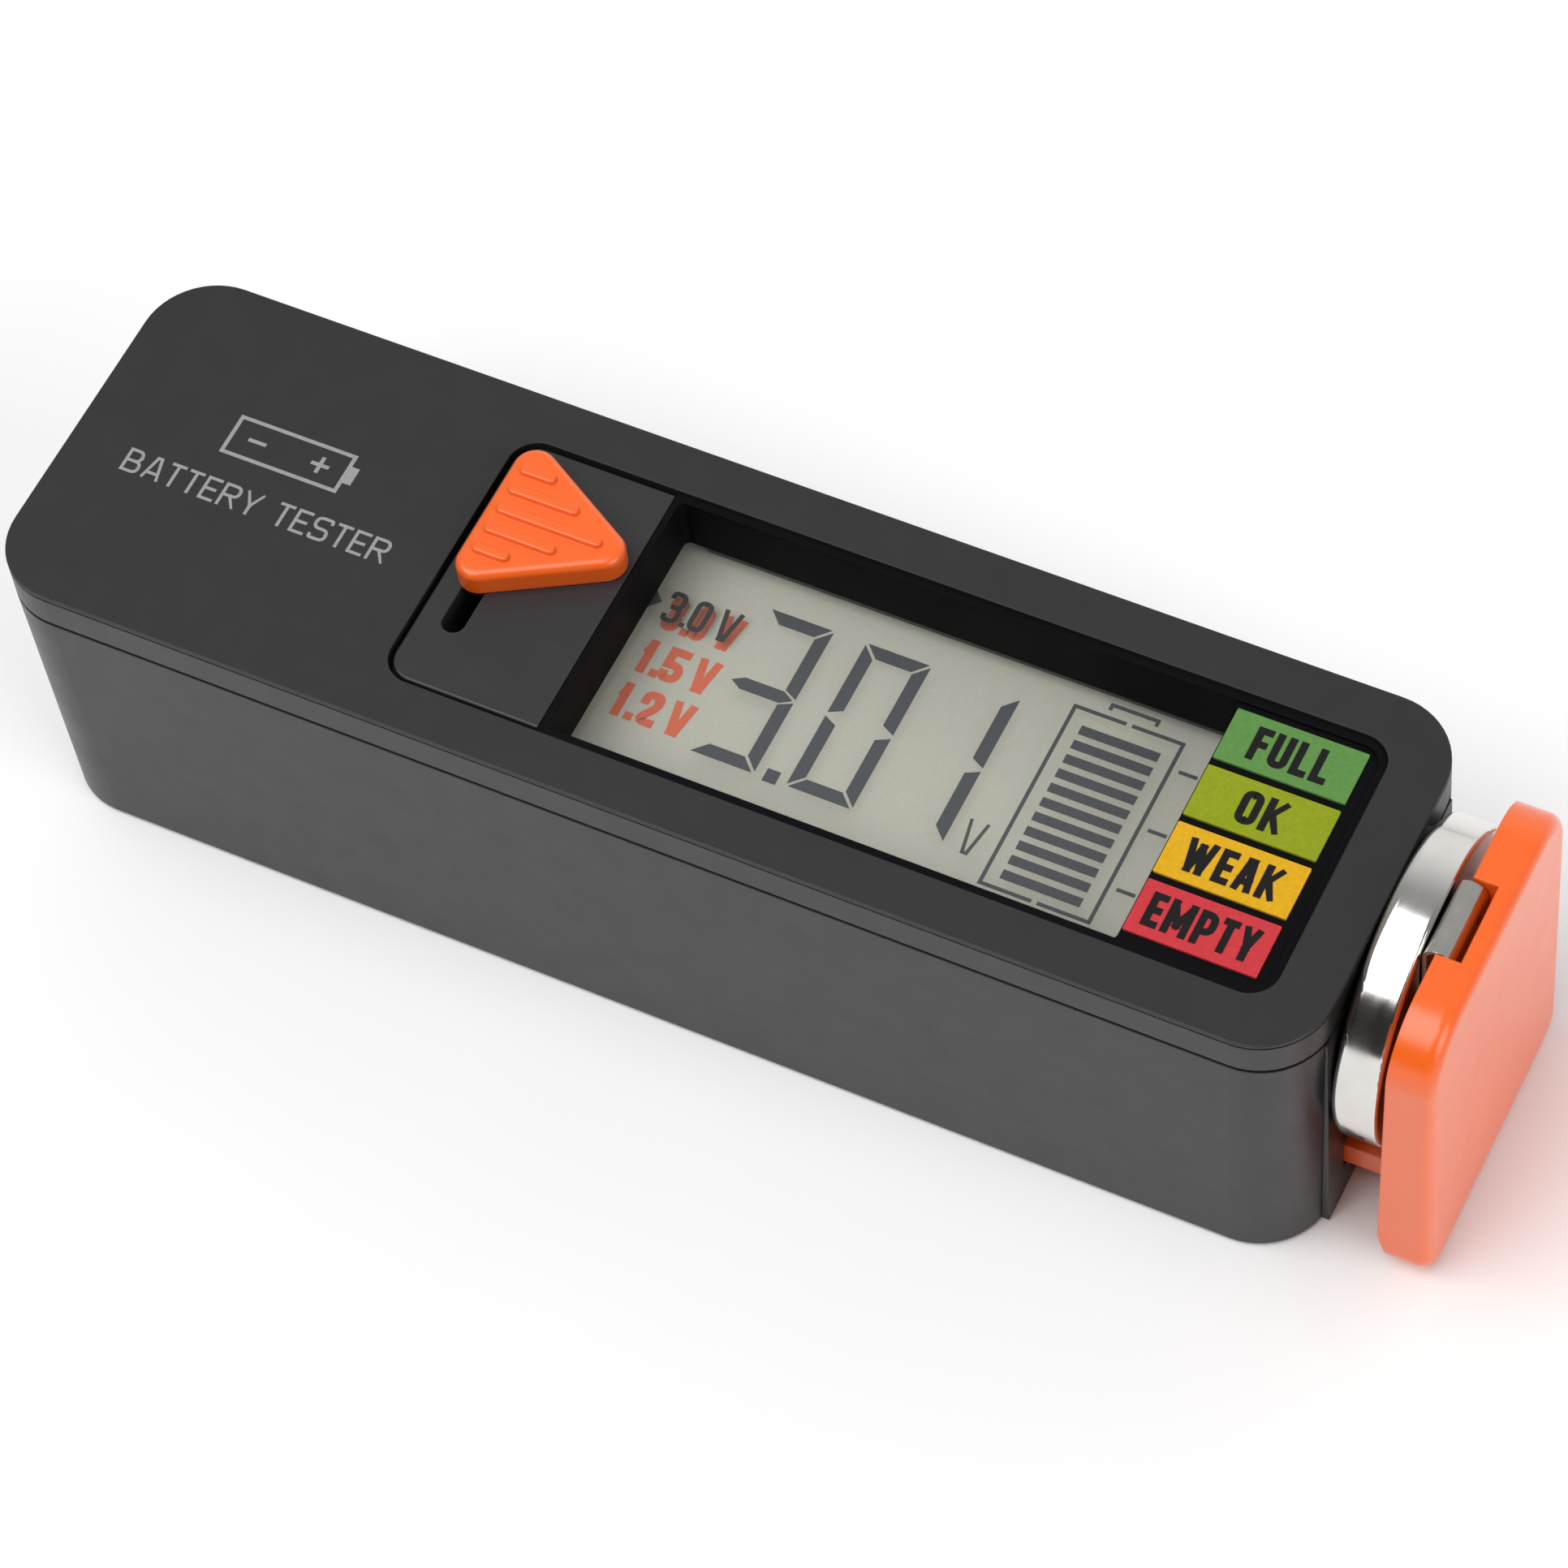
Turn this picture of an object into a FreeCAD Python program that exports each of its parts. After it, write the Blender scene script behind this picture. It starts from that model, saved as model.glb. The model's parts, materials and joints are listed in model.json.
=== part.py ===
import FreeCAD, Part
import math
import os
from types import SimpleNamespace

import Sketcher
from FreeCAD import Placement, Rotation, Vector

# Pocket tester for round and coin cells, in millimetres.
# Frame: X runs along the body towards the sprung arm, Y across it, Z up. The origin is at the middle of the
# underside of the whole tester's bounding box. The arm is at rest on a coin cell.

doc = FreeCAD.newDocument("battery_tester")

# ---------------------------------------------------------------- driving dimensions
DIMENSIONS = {
    # casing
    "body_length": 87.2, "body_width": 25.4, "body_height": 23.7, "corner_radius": 4.6, "wall": 1.7,
    "floor": 1.8, "roof": 1.5, "left_draft": 0.5, "right_draft": 0.35, "foot_bevel": 0.35,
    "seam_height": 20.75, "seam_gap": 0.3, "lip_height": 2.3, "hairline_gap": 0.16, "hairline_depth": 0.25,
    "rim_depth": 1.45, "rim_wall": 1.0, "hook_reach": 0.2, "hook_height": 0.6, "rail_gap": 1.7,
    "rail_thickness": 1.2, "boss_top": 10.0,
    # allowances: between fixed parts, between sliding parts, between parts pressed together, how far added
    # material runs into what it joins, and how far a cut runs past the surface that it opens
    "fit_gap": 0.15, "slide_gap": 0.25, "clamp_gap": 0.05, "join": 0.2, "past": 1.0,
    # recess in the cover, and what fills it
    "recess_start": 25.95, "recess_length": 57.7, "recess_width": 18.9, "recess_radius": 1.9,
    "panel_end": 36.6, "panel_gap": 0.3, "panel_drop": 0.15, "flange": 1.1, "flange_reach": 0.3,
    "slot_place": 28.5, "slot_width": 1.5, "slot_length": 10.3, "slot_corner": 0.73, "bezel_wall": 0.4,
    "bezel_side": 0.55, "bezel_drop": 0.2, "shelf_start": 73.9, "shelf_end": 83.15, "shelf_drop": 0.45,
    "shelf_corner": 1.4, "shelf_thickness": 1.5, "label_start": 74.0, "label_length": 8.35,
    "label_height": 3.72, "label_thickness": 0.17, "label_pitch": 4.25, "label_middle": 0.15,
    # display
    "display_depth": 4.35, "glass_thickness": 0.7, "glass_start": 36.2, "glass_end": 78.6,
    "front_glass_width": 20.9, "rear_glass_width": 19.0, "reflector_thickness": 0.2, "reflector_inset": 0.1,
    "zebra_inset": 1.8, "zebra_thickness": 0.8, "holder_wall": 0.4, "holder_end_wall": 1.1,
    "web_thickness": 0.8,
    # board and switch
    "board_start": 16.4, "board_end": 80.2, "board_width": 21.4, "board_bottom": 14.6,
    "board_thickness": 1.2, "board_corner": 0.7, "chip_place": 44.1, "chip_side": 6.9, "chip_height": 1.4,
    "chip_mark": 0.34, "chip_mark_inset": 0.85, "component_pitch": 4.6, "component_length": 2.0,
    "component_width": 1.2, "component_height": 0.55, "component_step": 0.25, "switch_width": 4.6,
    "switch_length": 13.2, "switch_height": 3.5, "lever_width": 1.0, "lever_length": 1.5,
    "lever_height": 2.2, "lever_slot": 2.3,
    # selector knob
    "knob_start": 27.0, "knob_length": 9.35, "knob_width": 10.2, "knob_corner": 1.4, "knob_height": 1.75,
    "knob_edge": 0.5, "knob_lift": 0.05, "knob_place": 3.0, "ridge_width": 0.68, "ridge_height": 0.32,
    "ridge_pitch": 1.55, "ridge_length": 7.1, "ridge_step": 2.35, "ridge_inset": 0.8, "ridge_corner": 0.32,
    "ridge_edge": 0.13, "stem_width": 1.1, "stem_length": 3.6, "stem_corner": 0.33, "stem_grip": 0.02,
    "stem_foot": 1.5,
    # arm
    "arm_outer": 94.3, "arm_width": 20.0, "arm_middle": -0.7, "arm_bottom": 0.3, "arm_top": 25.5,
    "arm_thickness": 3.35, "arm_lean": 0.55, "arm_corner": 4.0, "arm_foot_corner": 2.0, "arm_edge": 0.9,
    "arm_chamfer": 3.3, "bar_start": 3.4, "bar_width": 13.4, "bar_bottom": 3.4, "bar_thickness": 1.95,
    "fork_end": 26.0, "fork_width": 4.4, "ear_start": 12.0, "ear_length": 2.5, "ear_width": 16.4,
    "notch_middle": -1.0, "notch_width": 5.5, "notch_back": 93.05, "notch_floor": 20.6, "hook_width": 0.7,
    "hook_length": 1.4, "strip_thickness": 0.25, "strip_width": 5.2, "strip_front": 90.62,
    "strip_bend": 0.95, "strip_top": 25.35, "strip_corner": 0.94, "strip_bore_corner": 0.69,
    "rail_width": 2.8, "rail_middle": -4.0, "rail_start": 8.0, "rail_leaf": 0.2,
    # cell under test
    "cell_radius": 10.0, "cell_face": 87.35, "cell_thickness": 3.2, "cell_height": 15.4, "cap_radius": 8.65,
    "gasket_radius": 9.15, "cap_step": 0.5, "can_edge": 0.6, "cell_edge": 0.3,
    # end plate and guide
    "end_plate_width": 18.3, "end_plate_thickness": 1.75, "guide_bottom": 5.9, "guide_thickness": 1.2,
    "stop_place": 73.0, "leg_inset": 0.8, "leg_end": 2.0, "contact_radius": 2.0, "contact_flange": 3.0,
    "contact_reach": 0.1, "contact_head": 0.55, "tail_width": 3.0, "wiper_place": 68.0, "wiper_reach": 6.0,
    "wiper_foot": 3.0, "wiper_toe": 2.2, "wiper_width": 2.0,
    # supply cells, their cradle and door
    "supply_radius": 5.8, "supply_cap_radius": 4.93, "supply_thickness": 5.4, "supply_place": 8.7,
    "supply_height": 12.8, "supply_lip": 0.9, "supply_gap": 0.02, "supply_contact": 0.3,
    "contact_drop": 3.5, "cradle_start": 2.6, "cradle_end": 15.8, "cradle_width": 13.3,
    "cradle_bottom": 6.2, "cradle_top": 19.5, "cradle_end_wall": 0.9, "cradle_space": 0.4,
    "door_width": 13.4, "door_bottom": 6.6, "door_top": 19.2, "door_gap": 0.2, "plug_inset": 0.3,
    "door_grip": 1.2, "door_grip_depth": 0.75,
    # fasteners
    "case_screw_place": 6.0, "case_screw_side": 8.9, "case_head_radius": 2.0, "case_shank_radius": 1.0,
    "board_screw_near": 19.5, "board_screw_far": 33.0, "board_screw_side": 8.4, "board_head_radius": 1.7,
    "board_shank_radius": 0.95, "case_head_height": 1.3, "board_head_height": 1.1, "head_seat": 0.4,
    "recess_share": 0.6, "recess_slot": 0.14, "recess_deep": 0.6,
    # return spring
    "spring_radius": 1.25, "spring_wire": 0.18, "spring_pitch": 1.0, "spring_start": 8.9,
    "spring_turns": 15.4, "post_place": 8.0, "post_radius": 0.75,
}

sheet = doc.addObject("Spreadsheet::Sheet", "Sizes")
for row, (alias, number) in enumerate(DIMENSIONS.items(), start=1):
    sheet.set("A%d" % row, alias)
    sheet.set("B%d" % row, str(number))
    sheet.setAlias("B%d" % row, alias)
doc.recompute()


class Size:
    """A length, with the spreadsheet expression that gives it."""

    def __init__(self, value, text):
        self.value, self.text = value, text

    def joined(self, other, sign, value, turned=False):
        other = other if isinstance(other, Size) else Size(other, "%.10g" % other)
        first, second = (other, self) if turned else (self, other)
        return Size(value(first.value, second.value), "(%s %s %s)" % (first.text, sign, second.text))

    def __add__(self, other):
        return self.joined(other, "+", lambda a, b: a + b)

    def __sub__(self, other):
        return self.joined(other, "-", lambda a, b: a - b)

    def __rsub__(self, other):
        return self.joined(other, "-", lambda a, b: a - b, turned=True)

    def __mul__(self, other):
        return self.joined(other, "*", lambda a, b: a * b)

    def __truediv__(self, other):
        return self.joined(other, "/", lambda a, b: a / b)

    def __neg__(self):
        return self * -1.0

    __radd__, __rmul__ = __add__, __mul__


D = SimpleNamespace(**{alias: Size(number, "Sizes." + alias) for alias, number in DIMENSIONS.items()})


def along(place):
    """Turn a distance from the body's left end into an X in the tester's frame."""
    return place - D.arm_outer / 2.0


ZERO = Size(0.0, "0")
LEFT, RIGHT = along(ZERO), along(D.body_length)
INNER_RIGHT = RIGHT - D.wall - D.right_draft
TOP = D.body_height
HALF = D.body_width / 2.0
ROOF_UNDERSIDE = D.body_height - D.roof
COVER_BOTTOM = D.seam_height + D.seam_gap
DISPLAY_TOP = D.body_height - D.display_depth
BOARD_TOP = D.board_bottom + D.board_thickness
BAR_TOP = D.bar_bottom + D.bar_thickness
SWITCH_TOP = BOARD_TOP + D.switch_height
FLANGE_TOP = ROOF_UNDERSIDE - D.clamp_gap
RIM_BOTTOM = COVER_BOTTOM - D.rim_depth
HOOK_HALF = HALF / 2.0
SIDES = (-1.0, 1.0)
RIDGE_STEPS = range(-2, 3)
COMPONENT_COLUMNS = range(-1, 4)
# labels, each with its distance from the shelf's middle in label pitches
LABELS = (("label_full", 1.5), ("label_ok", 0.5), ("label_weak", -0.5), ("label_empty", -1.5))
# how near a point lies to count as on an axis or a plane (mm), and the least volume that a cut takes (mm3)
NEAR_AXIS = 1e-9
NEAR_PLANE = 1e-3
LEAST_CUT = 1e-4


# ---------------------------------------------------------------- modelling helpers
def new_body(label, several=False):
    body = doc.addObject("PartDesign::Body", label)
    body.Label = label
    body.AllowCompound = several
    return body


def new_sketch(body, role, offset):
    plane = next(item for item in body.Origin.OriginFeatures if item.Role == role)
    sketch = body.newObject("Sketcher::SketchObject", body.Label + "_outline")
    sketch.AttachmentSupport = [(plane, "")]
    sketch.MapMode = "FlatFace"
    sketch.setExpression("AttachmentOffset.Base.z", offset.text)
    return sketch


def pin_point(sketch, item, end, across, up):
    """Bind one point of a sketch to its two coordinates."""
    for kind, size, axis in (("DistanceX", across, -2), ("DistanceY", up, -1)):
        if abs(size.value) < NEAR_AXIS:
            sketch.addConstraint(Sketcher.Constraint("PointOnObject", item, end, axis))
        else:
            index = sketch.addConstraint(Sketcher.Constraint(kind, -1, 1, item, end, size.value))
            sketch.setExpression("Constraints[%d]" % index, size.text)


def pin_radius(sketch, item, radius):
    index = sketch.addConstraint(Sketcher.Constraint("Radius", item, radius.value))
    sketch.setExpression("Constraints[%d]" % index, radius.text)


def rectangle(low_x, high_x, low_y, high_y, radii=None):
    """An upright rectangle. radii is one Size or four, from the low corner round by the high X."""
    corners = radii if isinstance(radii, (list, tuple)) else [radii] * 4

    def draw(sketch):
        xs, ys = (low_x, high_x, high_x, low_x), (low_y, low_y, high_y, high_y)
        turns = (Vector(1, 0), Vector(0, 1), Vector(-1, 0), Vector(0, -1))
        lines, arcs = [], {}
        for k in range(4):
            after = (k + 1) % 4
            start, end = Vector(xs[k].value, ys[k].value), Vector(xs[after].value, ys[after].value)
            start += turns[k] * (corners[k].value if corners[k] else 0.0)
            end -= turns[k] * (corners[after].value if corners[after] else 0.0)
            lines.append(sketch.addGeometry(Part.LineSegment(start, end)))
        for k in range(4):
            if corners[k]:
                reach = corners[k].value
                centre = Vector(xs[k].value, ys[k].value) + (turns[k] - turns[k - 1]) * reach
                first = math.pi + k * math.pi / 2
                circle = Part.Circle(centre, Vector(0, 0, 1), reach)
                arcs[k] = sketch.addGeometry(Part.ArcOfCircle(circle, first, first + math.pi / 2))
                sketch.addConstraint(Sketcher.Constraint("Tangent", lines[k - 1], 2, arcs[k], 1))
                sketch.addConstraint(Sketcher.Constraint("Tangent", arcs[k], 2, lines[k], 1))
                pin_radius(sketch, arcs[k], corners[k])
            else:
                sketch.addConstraint(Sketcher.Constraint("Coincident", lines[k - 1], 2, lines[k], 1))
        for k in range(4):
            direction = "Horizontal" if k % 2 == 0 else "Vertical"
            sketch.addConstraint(Sketcher.Constraint(direction, lines[k]))
            kind, size, axis = ("DistanceY", ys[k], -1) if k % 2 == 0 else ("DistanceX", xs[k], -2)
            if abs(size.value) < NEAR_AXIS:
                sketch.addConstraint(Sketcher.Constraint("PointOnObject", lines[k], 1, axis))
            else:
                index = sketch.addConstraint(Sketcher.Constraint(kind, -1, 1, lines[k], 1, size.value))
                sketch.setExpression("Constraints[%d]" % index, size.text)
    return draw


def discs(places, radius):
    """Circles of one radius at several places."""
    def draw(sketch):
        for across, up in places:
            circle = Part.Circle(Vector(across.value, up.value), Vector(0, 0, 1), radius.value)
            item = sketch.addGeometry(circle)
            pin_point(sketch, item, 3, across, up)
            pin_radius(sketch, item, radius)
    return draw


def polygon(points):
    def draw(sketch):
        count = len(points)
        ends = [Vector(across.value, up.value) for across, up in points]
        lines = [sketch.addGeometry(Part.LineSegment(ends[k], ends[(k + 1) % count])) for k in range(count)]
        for k in range(count):
            sketch.addConstraint(Sketcher.Constraint("Coincident", lines[k - 1], 2, lines[k], 1))
            pin_point(sketch, lines[k], 1, *points[k])
    return draw


def rounded_triangle(centres, radius):
    """The outline of a band stretched round three equal discs, given anticlockwise."""
    def draw(sketch):
        middles = [Vector(across.value, up.value) for across, up in centres]
        headings = [middles[(k + 1) % 3] - middles[k] for k in range(3)]
        outward = [Vector(heading.y, -heading.x).normalize() for heading in headings]
        lines, arcs = [], []
        for k in range(3):
            offset = outward[k] * radius.value
            side = Part.LineSegment(middles[k] + offset, middles[(k + 1) % 3] + offset)
            lines.append(sketch.addGeometry(side))
        for k in range(3):
            first = math.atan2(outward[k - 1].y, outward[k - 1].x)
            last = math.atan2(outward[k].y, outward[k].x)
            last += 2 * math.pi if last < first else 0.0
            circle = Part.Circle(middles[k], Vector(0, 0, 1), radius.value)
            arcs.append(sketch.addGeometry(Part.ArcOfCircle(circle, first, last)))
        for k in range(3):
            sketch.addConstraint(Sketcher.Constraint("Tangent", lines[k - 1], 2, arcs[k], 1))
            sketch.addConstraint(Sketcher.Constraint("Tangent", arcs[k], 2, lines[k], 1))
            pin_point(sketch, arcs[k], 3, *centres[k])
        pin_radius(sketch, arcs[0], radius)
        for k in (1, 2):
            sketch.addConstraint(Sketcher.Constraint("Equal", arcs[0], arcs[k]))
    return draw


def layer(body, kind, outline, low, high, role):
    """Add or take away the outline's area from low to high along the axis square to its plane."""
    flipped = role == "XZ_Plane"
    start, reach = (-high if flipped else low), high - low
    sketch = new_sketch(body, role, start)
    outline(sketch)
    feature = body.newObject(kind, body.Label + "_" + kind.split("::")[1].lower())
    feature.Profile = sketch
    feature.Type = "Length"
    feature.setExpression("Length", reach.text)
    feature.Reversed = kind == "PartDesign::Pocket"
    sketch.Visibility = False
    return feature


def add(body, outline, low, high, role="XY_Plane"):
    return layer(body, "PartDesign::Pad", outline, low, high, role)


def cut(body, outline, low, high, role="XY_Plane"):
    """Take the outline away, and stop if it removed nothing."""
    doc.recompute()
    before = body.Shape.Volume
    feature = layer(body, "PartDesign::Pocket", outline, low, high, role)
    doc.recompute()
    if before - body.Shape.Volume < LEAST_CUT:
        raise RuntimeError("a cut removed nothing from " + body.Label)
    return feature


def edges_at(body, test):
    """Names of the edges whose every vertex and middle pass the test."""
    doc.recompute()
    names = []
    for number, edge in enumerate(body.Shape.Edges, start=1):
        middle = edge.valueAt((edge.FirstParameter + edge.LastParameter) / 2)
        if all(test(point) for point in [vertex.Point for vertex in edge.Vertexes] + [middle]):
            names.append("Edge%d" % number)
    return names


def soften(body, radius, test):
    """Round the edges that pass the test."""
    names = edges_at(body, test)
    if not names:
        raise RuntimeError("no edge to soften on " + body.Label)
    base = body.Tip
    feature = body.newObject("PartDesign::Fillet", body.Label + "_edge")
    feature.Base = (base, names)
    feature.setExpression("Radius", radius.text)
    return feature


def at_height(z):
    return lambda point: abs(point.z - z.value) < NEAR_PLANE


def at_length(x):
    return lambda point: abs(point.x - x.value) < NEAR_PLANE


def on_side(side, near, far):
    """A span from near to far, measured from the middle towards one side (-1 or 1), low end first."""
    return (near, far) if side > 0 else (-far, -near)


def case_screw_places():
    return [(along(D.case_screw_place), D.case_screw_side * side) for side in SIDES]


def board_screw_places():
    return [(along(place), D.board_screw_side * side)
            for place in (D.board_screw_near, D.board_screw_far) for side in SIDES]


def casing_outline(inset, drafted=False):
    """The body's outline in plan, drawn in by inset and, where drafted, by the lean of the two ends too."""
    left, right = (D.left_draft, D.right_draft) if drafted else (ZERO, ZERO)
    return rectangle(LEFT + inset + left, RIGHT - inset - right, -(HALF - inset), HALF - inset,
                     D.corner_radius - inset)


# ---------------------------------------------------------------- casing
def lower_housing():
    body = new_body("lower_housing")
    levels = ((ZERO, D.foot_bevel, True), (D.foot_bevel, ZERO, True), (D.seam_height, ZERO, False))
    sections = []
    for height, inset, drafted in levels:
        section = new_sketch(body, "XY_Plane", height)
        casing_outline(inset, drafted)(section)
        sections.append(section)
    shell = body.newObject("PartDesign::AdditiveLoft", "lower_housing_shell")
    shell.Profile = sections[0]
    shell.Sections = sections[1:]
    shell.Ruled = True
    cut(body, casing_outline(D.wall, True), D.floor, D.seam_height + D.past)
    # bosses for the two case screws, rails under the slide bar, and the post that holds the return spring
    add(body, discs(case_screw_places(), D.case_head_radius), D.floor - D.join, D.boss_top)
    rail = D.bar_width / 2.0 - D.rail_gap
    for side in SIDES:
        low, high = on_side(side, rail - D.rail_thickness, rail)
        runner = rectangle(LEFT + D.bar_start, INNER_RIGHT - D.slide_gap, low, high)
        add(body, runner, D.floor - D.join, D.bar_bottom - D.clamp_gap * 2.0)
    add(body, discs([(along(D.post_place), ZERO)], D.post_radius), D.floor - D.join, BAR_TOP + D.join)
    cut(body, discs(case_screw_places(), D.case_shank_radius + D.fit_gap), -D.past, D.seam_height)
    cut(body, discs(case_screw_places(), D.case_head_radius + D.fit_gap), -D.past, D.floor - D.head_seat)
    # right end, which the end plate closes, and the supply door's opening in the left end
    plate = D.end_plate_width / 2.0 + D.clamp_gap
    pocket = rectangle(RIGHT - D.end_plate_thickness - D.clamp_gap, RIGHT + D.past, -plate, plate)
    cut(body, pocket, -D.past, TOP)
    mouth = rectangle(INNER_RIGHT - D.clamp_gap, RIGHT, -plate, plate)
    cut(body, mouth, D.floor, TOP)
    door = D.door_width / 2.0 + D.door_gap
    opening = rectangle(-door, door, D.door_bottom - D.door_gap, D.door_top + D.door_gap)
    cut(body, opening, LEFT - D.past, LEFT + D.wall + D.left_draft + D.join, "YZ_Plane")
    return body


def upper_cover():
    body = new_body("upper_cover")
    lip_top = COVER_BOTTOM + D.lip_height
    add(body, casing_outline(ZERO), COVER_BOTTOM, lip_top)
    add(body, casing_outline(D.hairline_depth), lip_top - D.clamp_gap, lip_top + D.hairline_gap + D.clamp_gap)
    add(body, casing_outline(ZERO), lip_top + D.hairline_gap, TOP)
    soften(body, D.hairline_gap / 2.0, at_height(TOP))
    cut(body, casing_outline(D.wall), COVER_BOTTOM - D.past, ROOF_UNDERSIDE)
    # locating rim that drops inside the lower housing, and the tab that hooks the end plate
    rim = D.wall + D.fit_gap
    add(body, casing_outline(rim, True), RIM_BOTTOM, ROOF_UNDERSIDE + D.join)
    cut(body, casing_outline(rim + D.rim_wall, True), RIM_BOTTOM - D.past, ROOF_UNDERSIDE)
    hook_end = RIGHT - D.end_plate_thickness + D.hook_reach
    hook = rectangle(INNER_RIGHT - D.rim_wall, hook_end, -HOOK_HALF, HOOK_HALF)
    add(body, hook, RIM_BOTTOM, RIM_BOTTOM + D.hook_height)
    # posts that take the case screws
    post_bottom = D.boss_top + D.join
    posts = discs(case_screw_places(), D.case_head_radius - D.clamp_gap * 2.0)
    add(body, posts, post_bottom, ROOF_UNDERSIDE + D.join)
    pilots = discs(case_screw_places(), D.case_shank_radius + D.clamp_gap)
    cut(body, pilots, post_bottom - D.past, D.board_bottom)
    half = D.recess_width / 2.0
    recess = rectangle(along(D.recess_start), along(D.recess_start + D.recess_length), -half, half,
                       D.recess_radius)
    cut(body, recess, RIM_BOTTOM, TOP + D.past)
    return body


def slider_panel():
    """Raised panel that the knob slides on, flanged under the cover's roof."""
    body = new_body("slider_panel")
    half, gap = D.recess_width / 2.0, D.panel_gap
    start, end, top = along(D.recess_start), along(D.panel_end), TOP - D.panel_drop
    face = rectangle(start + gap, end + D.recess_radius, -(half - gap), half - gap, D.recess_radius - gap)
    add(body, face, FLANGE_TOP - D.join, top)
    soften(body, D.panel_drop, at_height(top))
    flange_half = half + D.flange_reach
    flange = rectangle(start - D.flange, end + D.recess_radius, -flange_half, flange_half)
    add(body, flange, FLANGE_TOP - D.flange, FLANGE_TOP)
    square_end = rectangle(end, end + D.recess_radius + D.past, -HALF, HALF)
    cut(body, square_end, FLANGE_TOP - D.flange - D.past, TOP + D.past)
    width, length = D.slot_width / 2.0, D.slot_length / 2.0
    middle = along(D.slot_place)
    slot = rectangle(middle - width, middle + width, -length, length, D.slot_corner)
    cut(body, slot, FLANGE_TOP - D.flange - D.past, TOP + D.past)
    return body


def display_bezel():
    """Black frame with the display's window, and a shelf beside it that carries the four labels."""
    body = new_body("display_bezel")
    half, start = D.recess_width / 2.0 - D.clamp_gap, along(D.panel_end) + D.clamp_gap
    end = along(D.recess_start + D.recess_length) - D.clamp_gap
    inner, top, bottom = half - D.bezel_side, TOP - D.bezel_drop, DISPLAY_TOP + D.clamp_gap
    frame = rectangle(start - D.recess_radius - D.past, end, -half, half, D.recess_radius - D.clamp_gap)
    add(body, frame, bottom, top)
    flange_half = half + D.flange_reach
    corner = D.corner_radius - D.wall - D.rim_wall
    flange = rectangle(start - D.past, end + D.flange_reach, -flange_half, flange_half,
                       [None, corner, corner, None])
    add(body, flange, FLANGE_TOP - D.flange, FLANGE_TOP)
    square_end = rectangle(start - D.recess_radius - D.past * 2.0, start, -HALF, HALF)
    cut(body, square_end, bottom - D.past, TOP + D.past)
    window = rectangle(start + D.bezel_wall, along(D.shelf_start), -inner, inner, D.bezel_wall)
    cut(body, window, bottom - D.past, TOP + D.past)
    # the shelf is sunk from above and hollow below
    shelf_start, shelf_end = along(D.shelf_start) - D.bezel_wall, along(D.shelf_end)
    shelf_top = TOP - D.shelf_drop
    sunk = rectangle(shelf_start, shelf_end, -inner, inner, [None, D.shelf_corner, D.shelf_corner, None])
    cut(body, sunk, shelf_top, TOP + D.past)
    under = rectangle(shelf_start, shelf_end - D.bezel_wall, -inner, inner)
    cut(body, under, bottom - D.past, shelf_top - D.shelf_thickness)
    return body


def range_label(name, place):
    """One coloured label, place being its distance from the middle in label pitches."""
    body = new_body(name)
    middle = D.label_middle + D.label_pitch * place
    half, bottom = D.label_height / 2.0, TOP - D.shelf_drop
    start = along(D.label_start)
    face = rectangle(start, start + D.label_length, middle - half, middle + half, D.label_thickness / 2.0)
    add(body, face, bottom, bottom + D.label_thickness)
    return body


# ---------------------------------------------------------------- display
def display_plate(name, width, top, thickness, inset=ZERO):
    body = new_body(name)
    half = width / 2.0
    outline = rectangle(along(D.glass_start + inset), along(D.glass_end - inset), -half, half)
    add(body, outline, top - thickness, top)
    return body


def display_layers():
    rear_top = DISPLAY_TOP - D.glass_thickness
    reflector_top = rear_top - D.glass_thickness
    return [display_plate("lcd_front_glass", D.front_glass_width, DISPLAY_TOP, D.glass_thickness),
            display_plate("lcd_rear_glass", D.rear_glass_width, rear_top, D.glass_thickness),
            display_plate("lcd_reflector", D.rear_glass_width, reflector_top, D.reflector_thickness,
                          D.reflector_inset)]


def zebra_outline(side, gap=ZERO):
    start, end = along(D.glass_start + D.zebra_inset) - gap, along(D.glass_end - D.zebra_inset) + gap
    inner = D.rear_glass_width / 2.0 + D.clamp_gap * 2.0
    low, high = on_side(side, inner - gap, inner + D.zebra_thickness + gap)
    return rectangle(start, end, low, high)


def zebra_strip(name, side):
    """Striped rubber connector between the board and the front glass's overhanging edge."""
    body = new_body(name)
    add(body, zebra_outline(side), BOARD_TOP, DISPLAY_TOP - D.glass_thickness - D.clamp_gap)
    return body


def display_holder():
    body = new_body("display_holder")
    start, end, half = along(D.glass_start), along(D.glass_end), D.front_glass_width / 2.0 + D.clamp_gap
    web_top = DISPLAY_TOP - D.glass_thickness * 2.0 - D.reflector_thickness - D.clamp_gap
    side_wall, end_wall = half + D.holder_wall, D.holder_end_wall
    outer = rectangle(start - end_wall, end + end_wall, -side_wall, side_wall, D.holder_wall)
    add(body, outer, BOARD_TOP + D.clamp_gap, DISPLAY_TOP - D.clamp_gap)
    cut(body, rectangle(start - D.clamp_gap, end + D.clamp_gap, -half, half), web_top, TOP)
    for side in SIDES:
        cut(body, zebra_outline(side, D.clamp_gap), D.board_bottom, web_top + D.join)
    # hollow underneath, leaving a web that backs the reflector
    web, inset = D.rear_glass_width / 2.0 - D.past, D.zebra_inset * 2.0
    cut(body, rectangle(start + inset, end - inset, -web, web), D.board_bottom, web_top - D.web_thickness)
    return body


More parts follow.
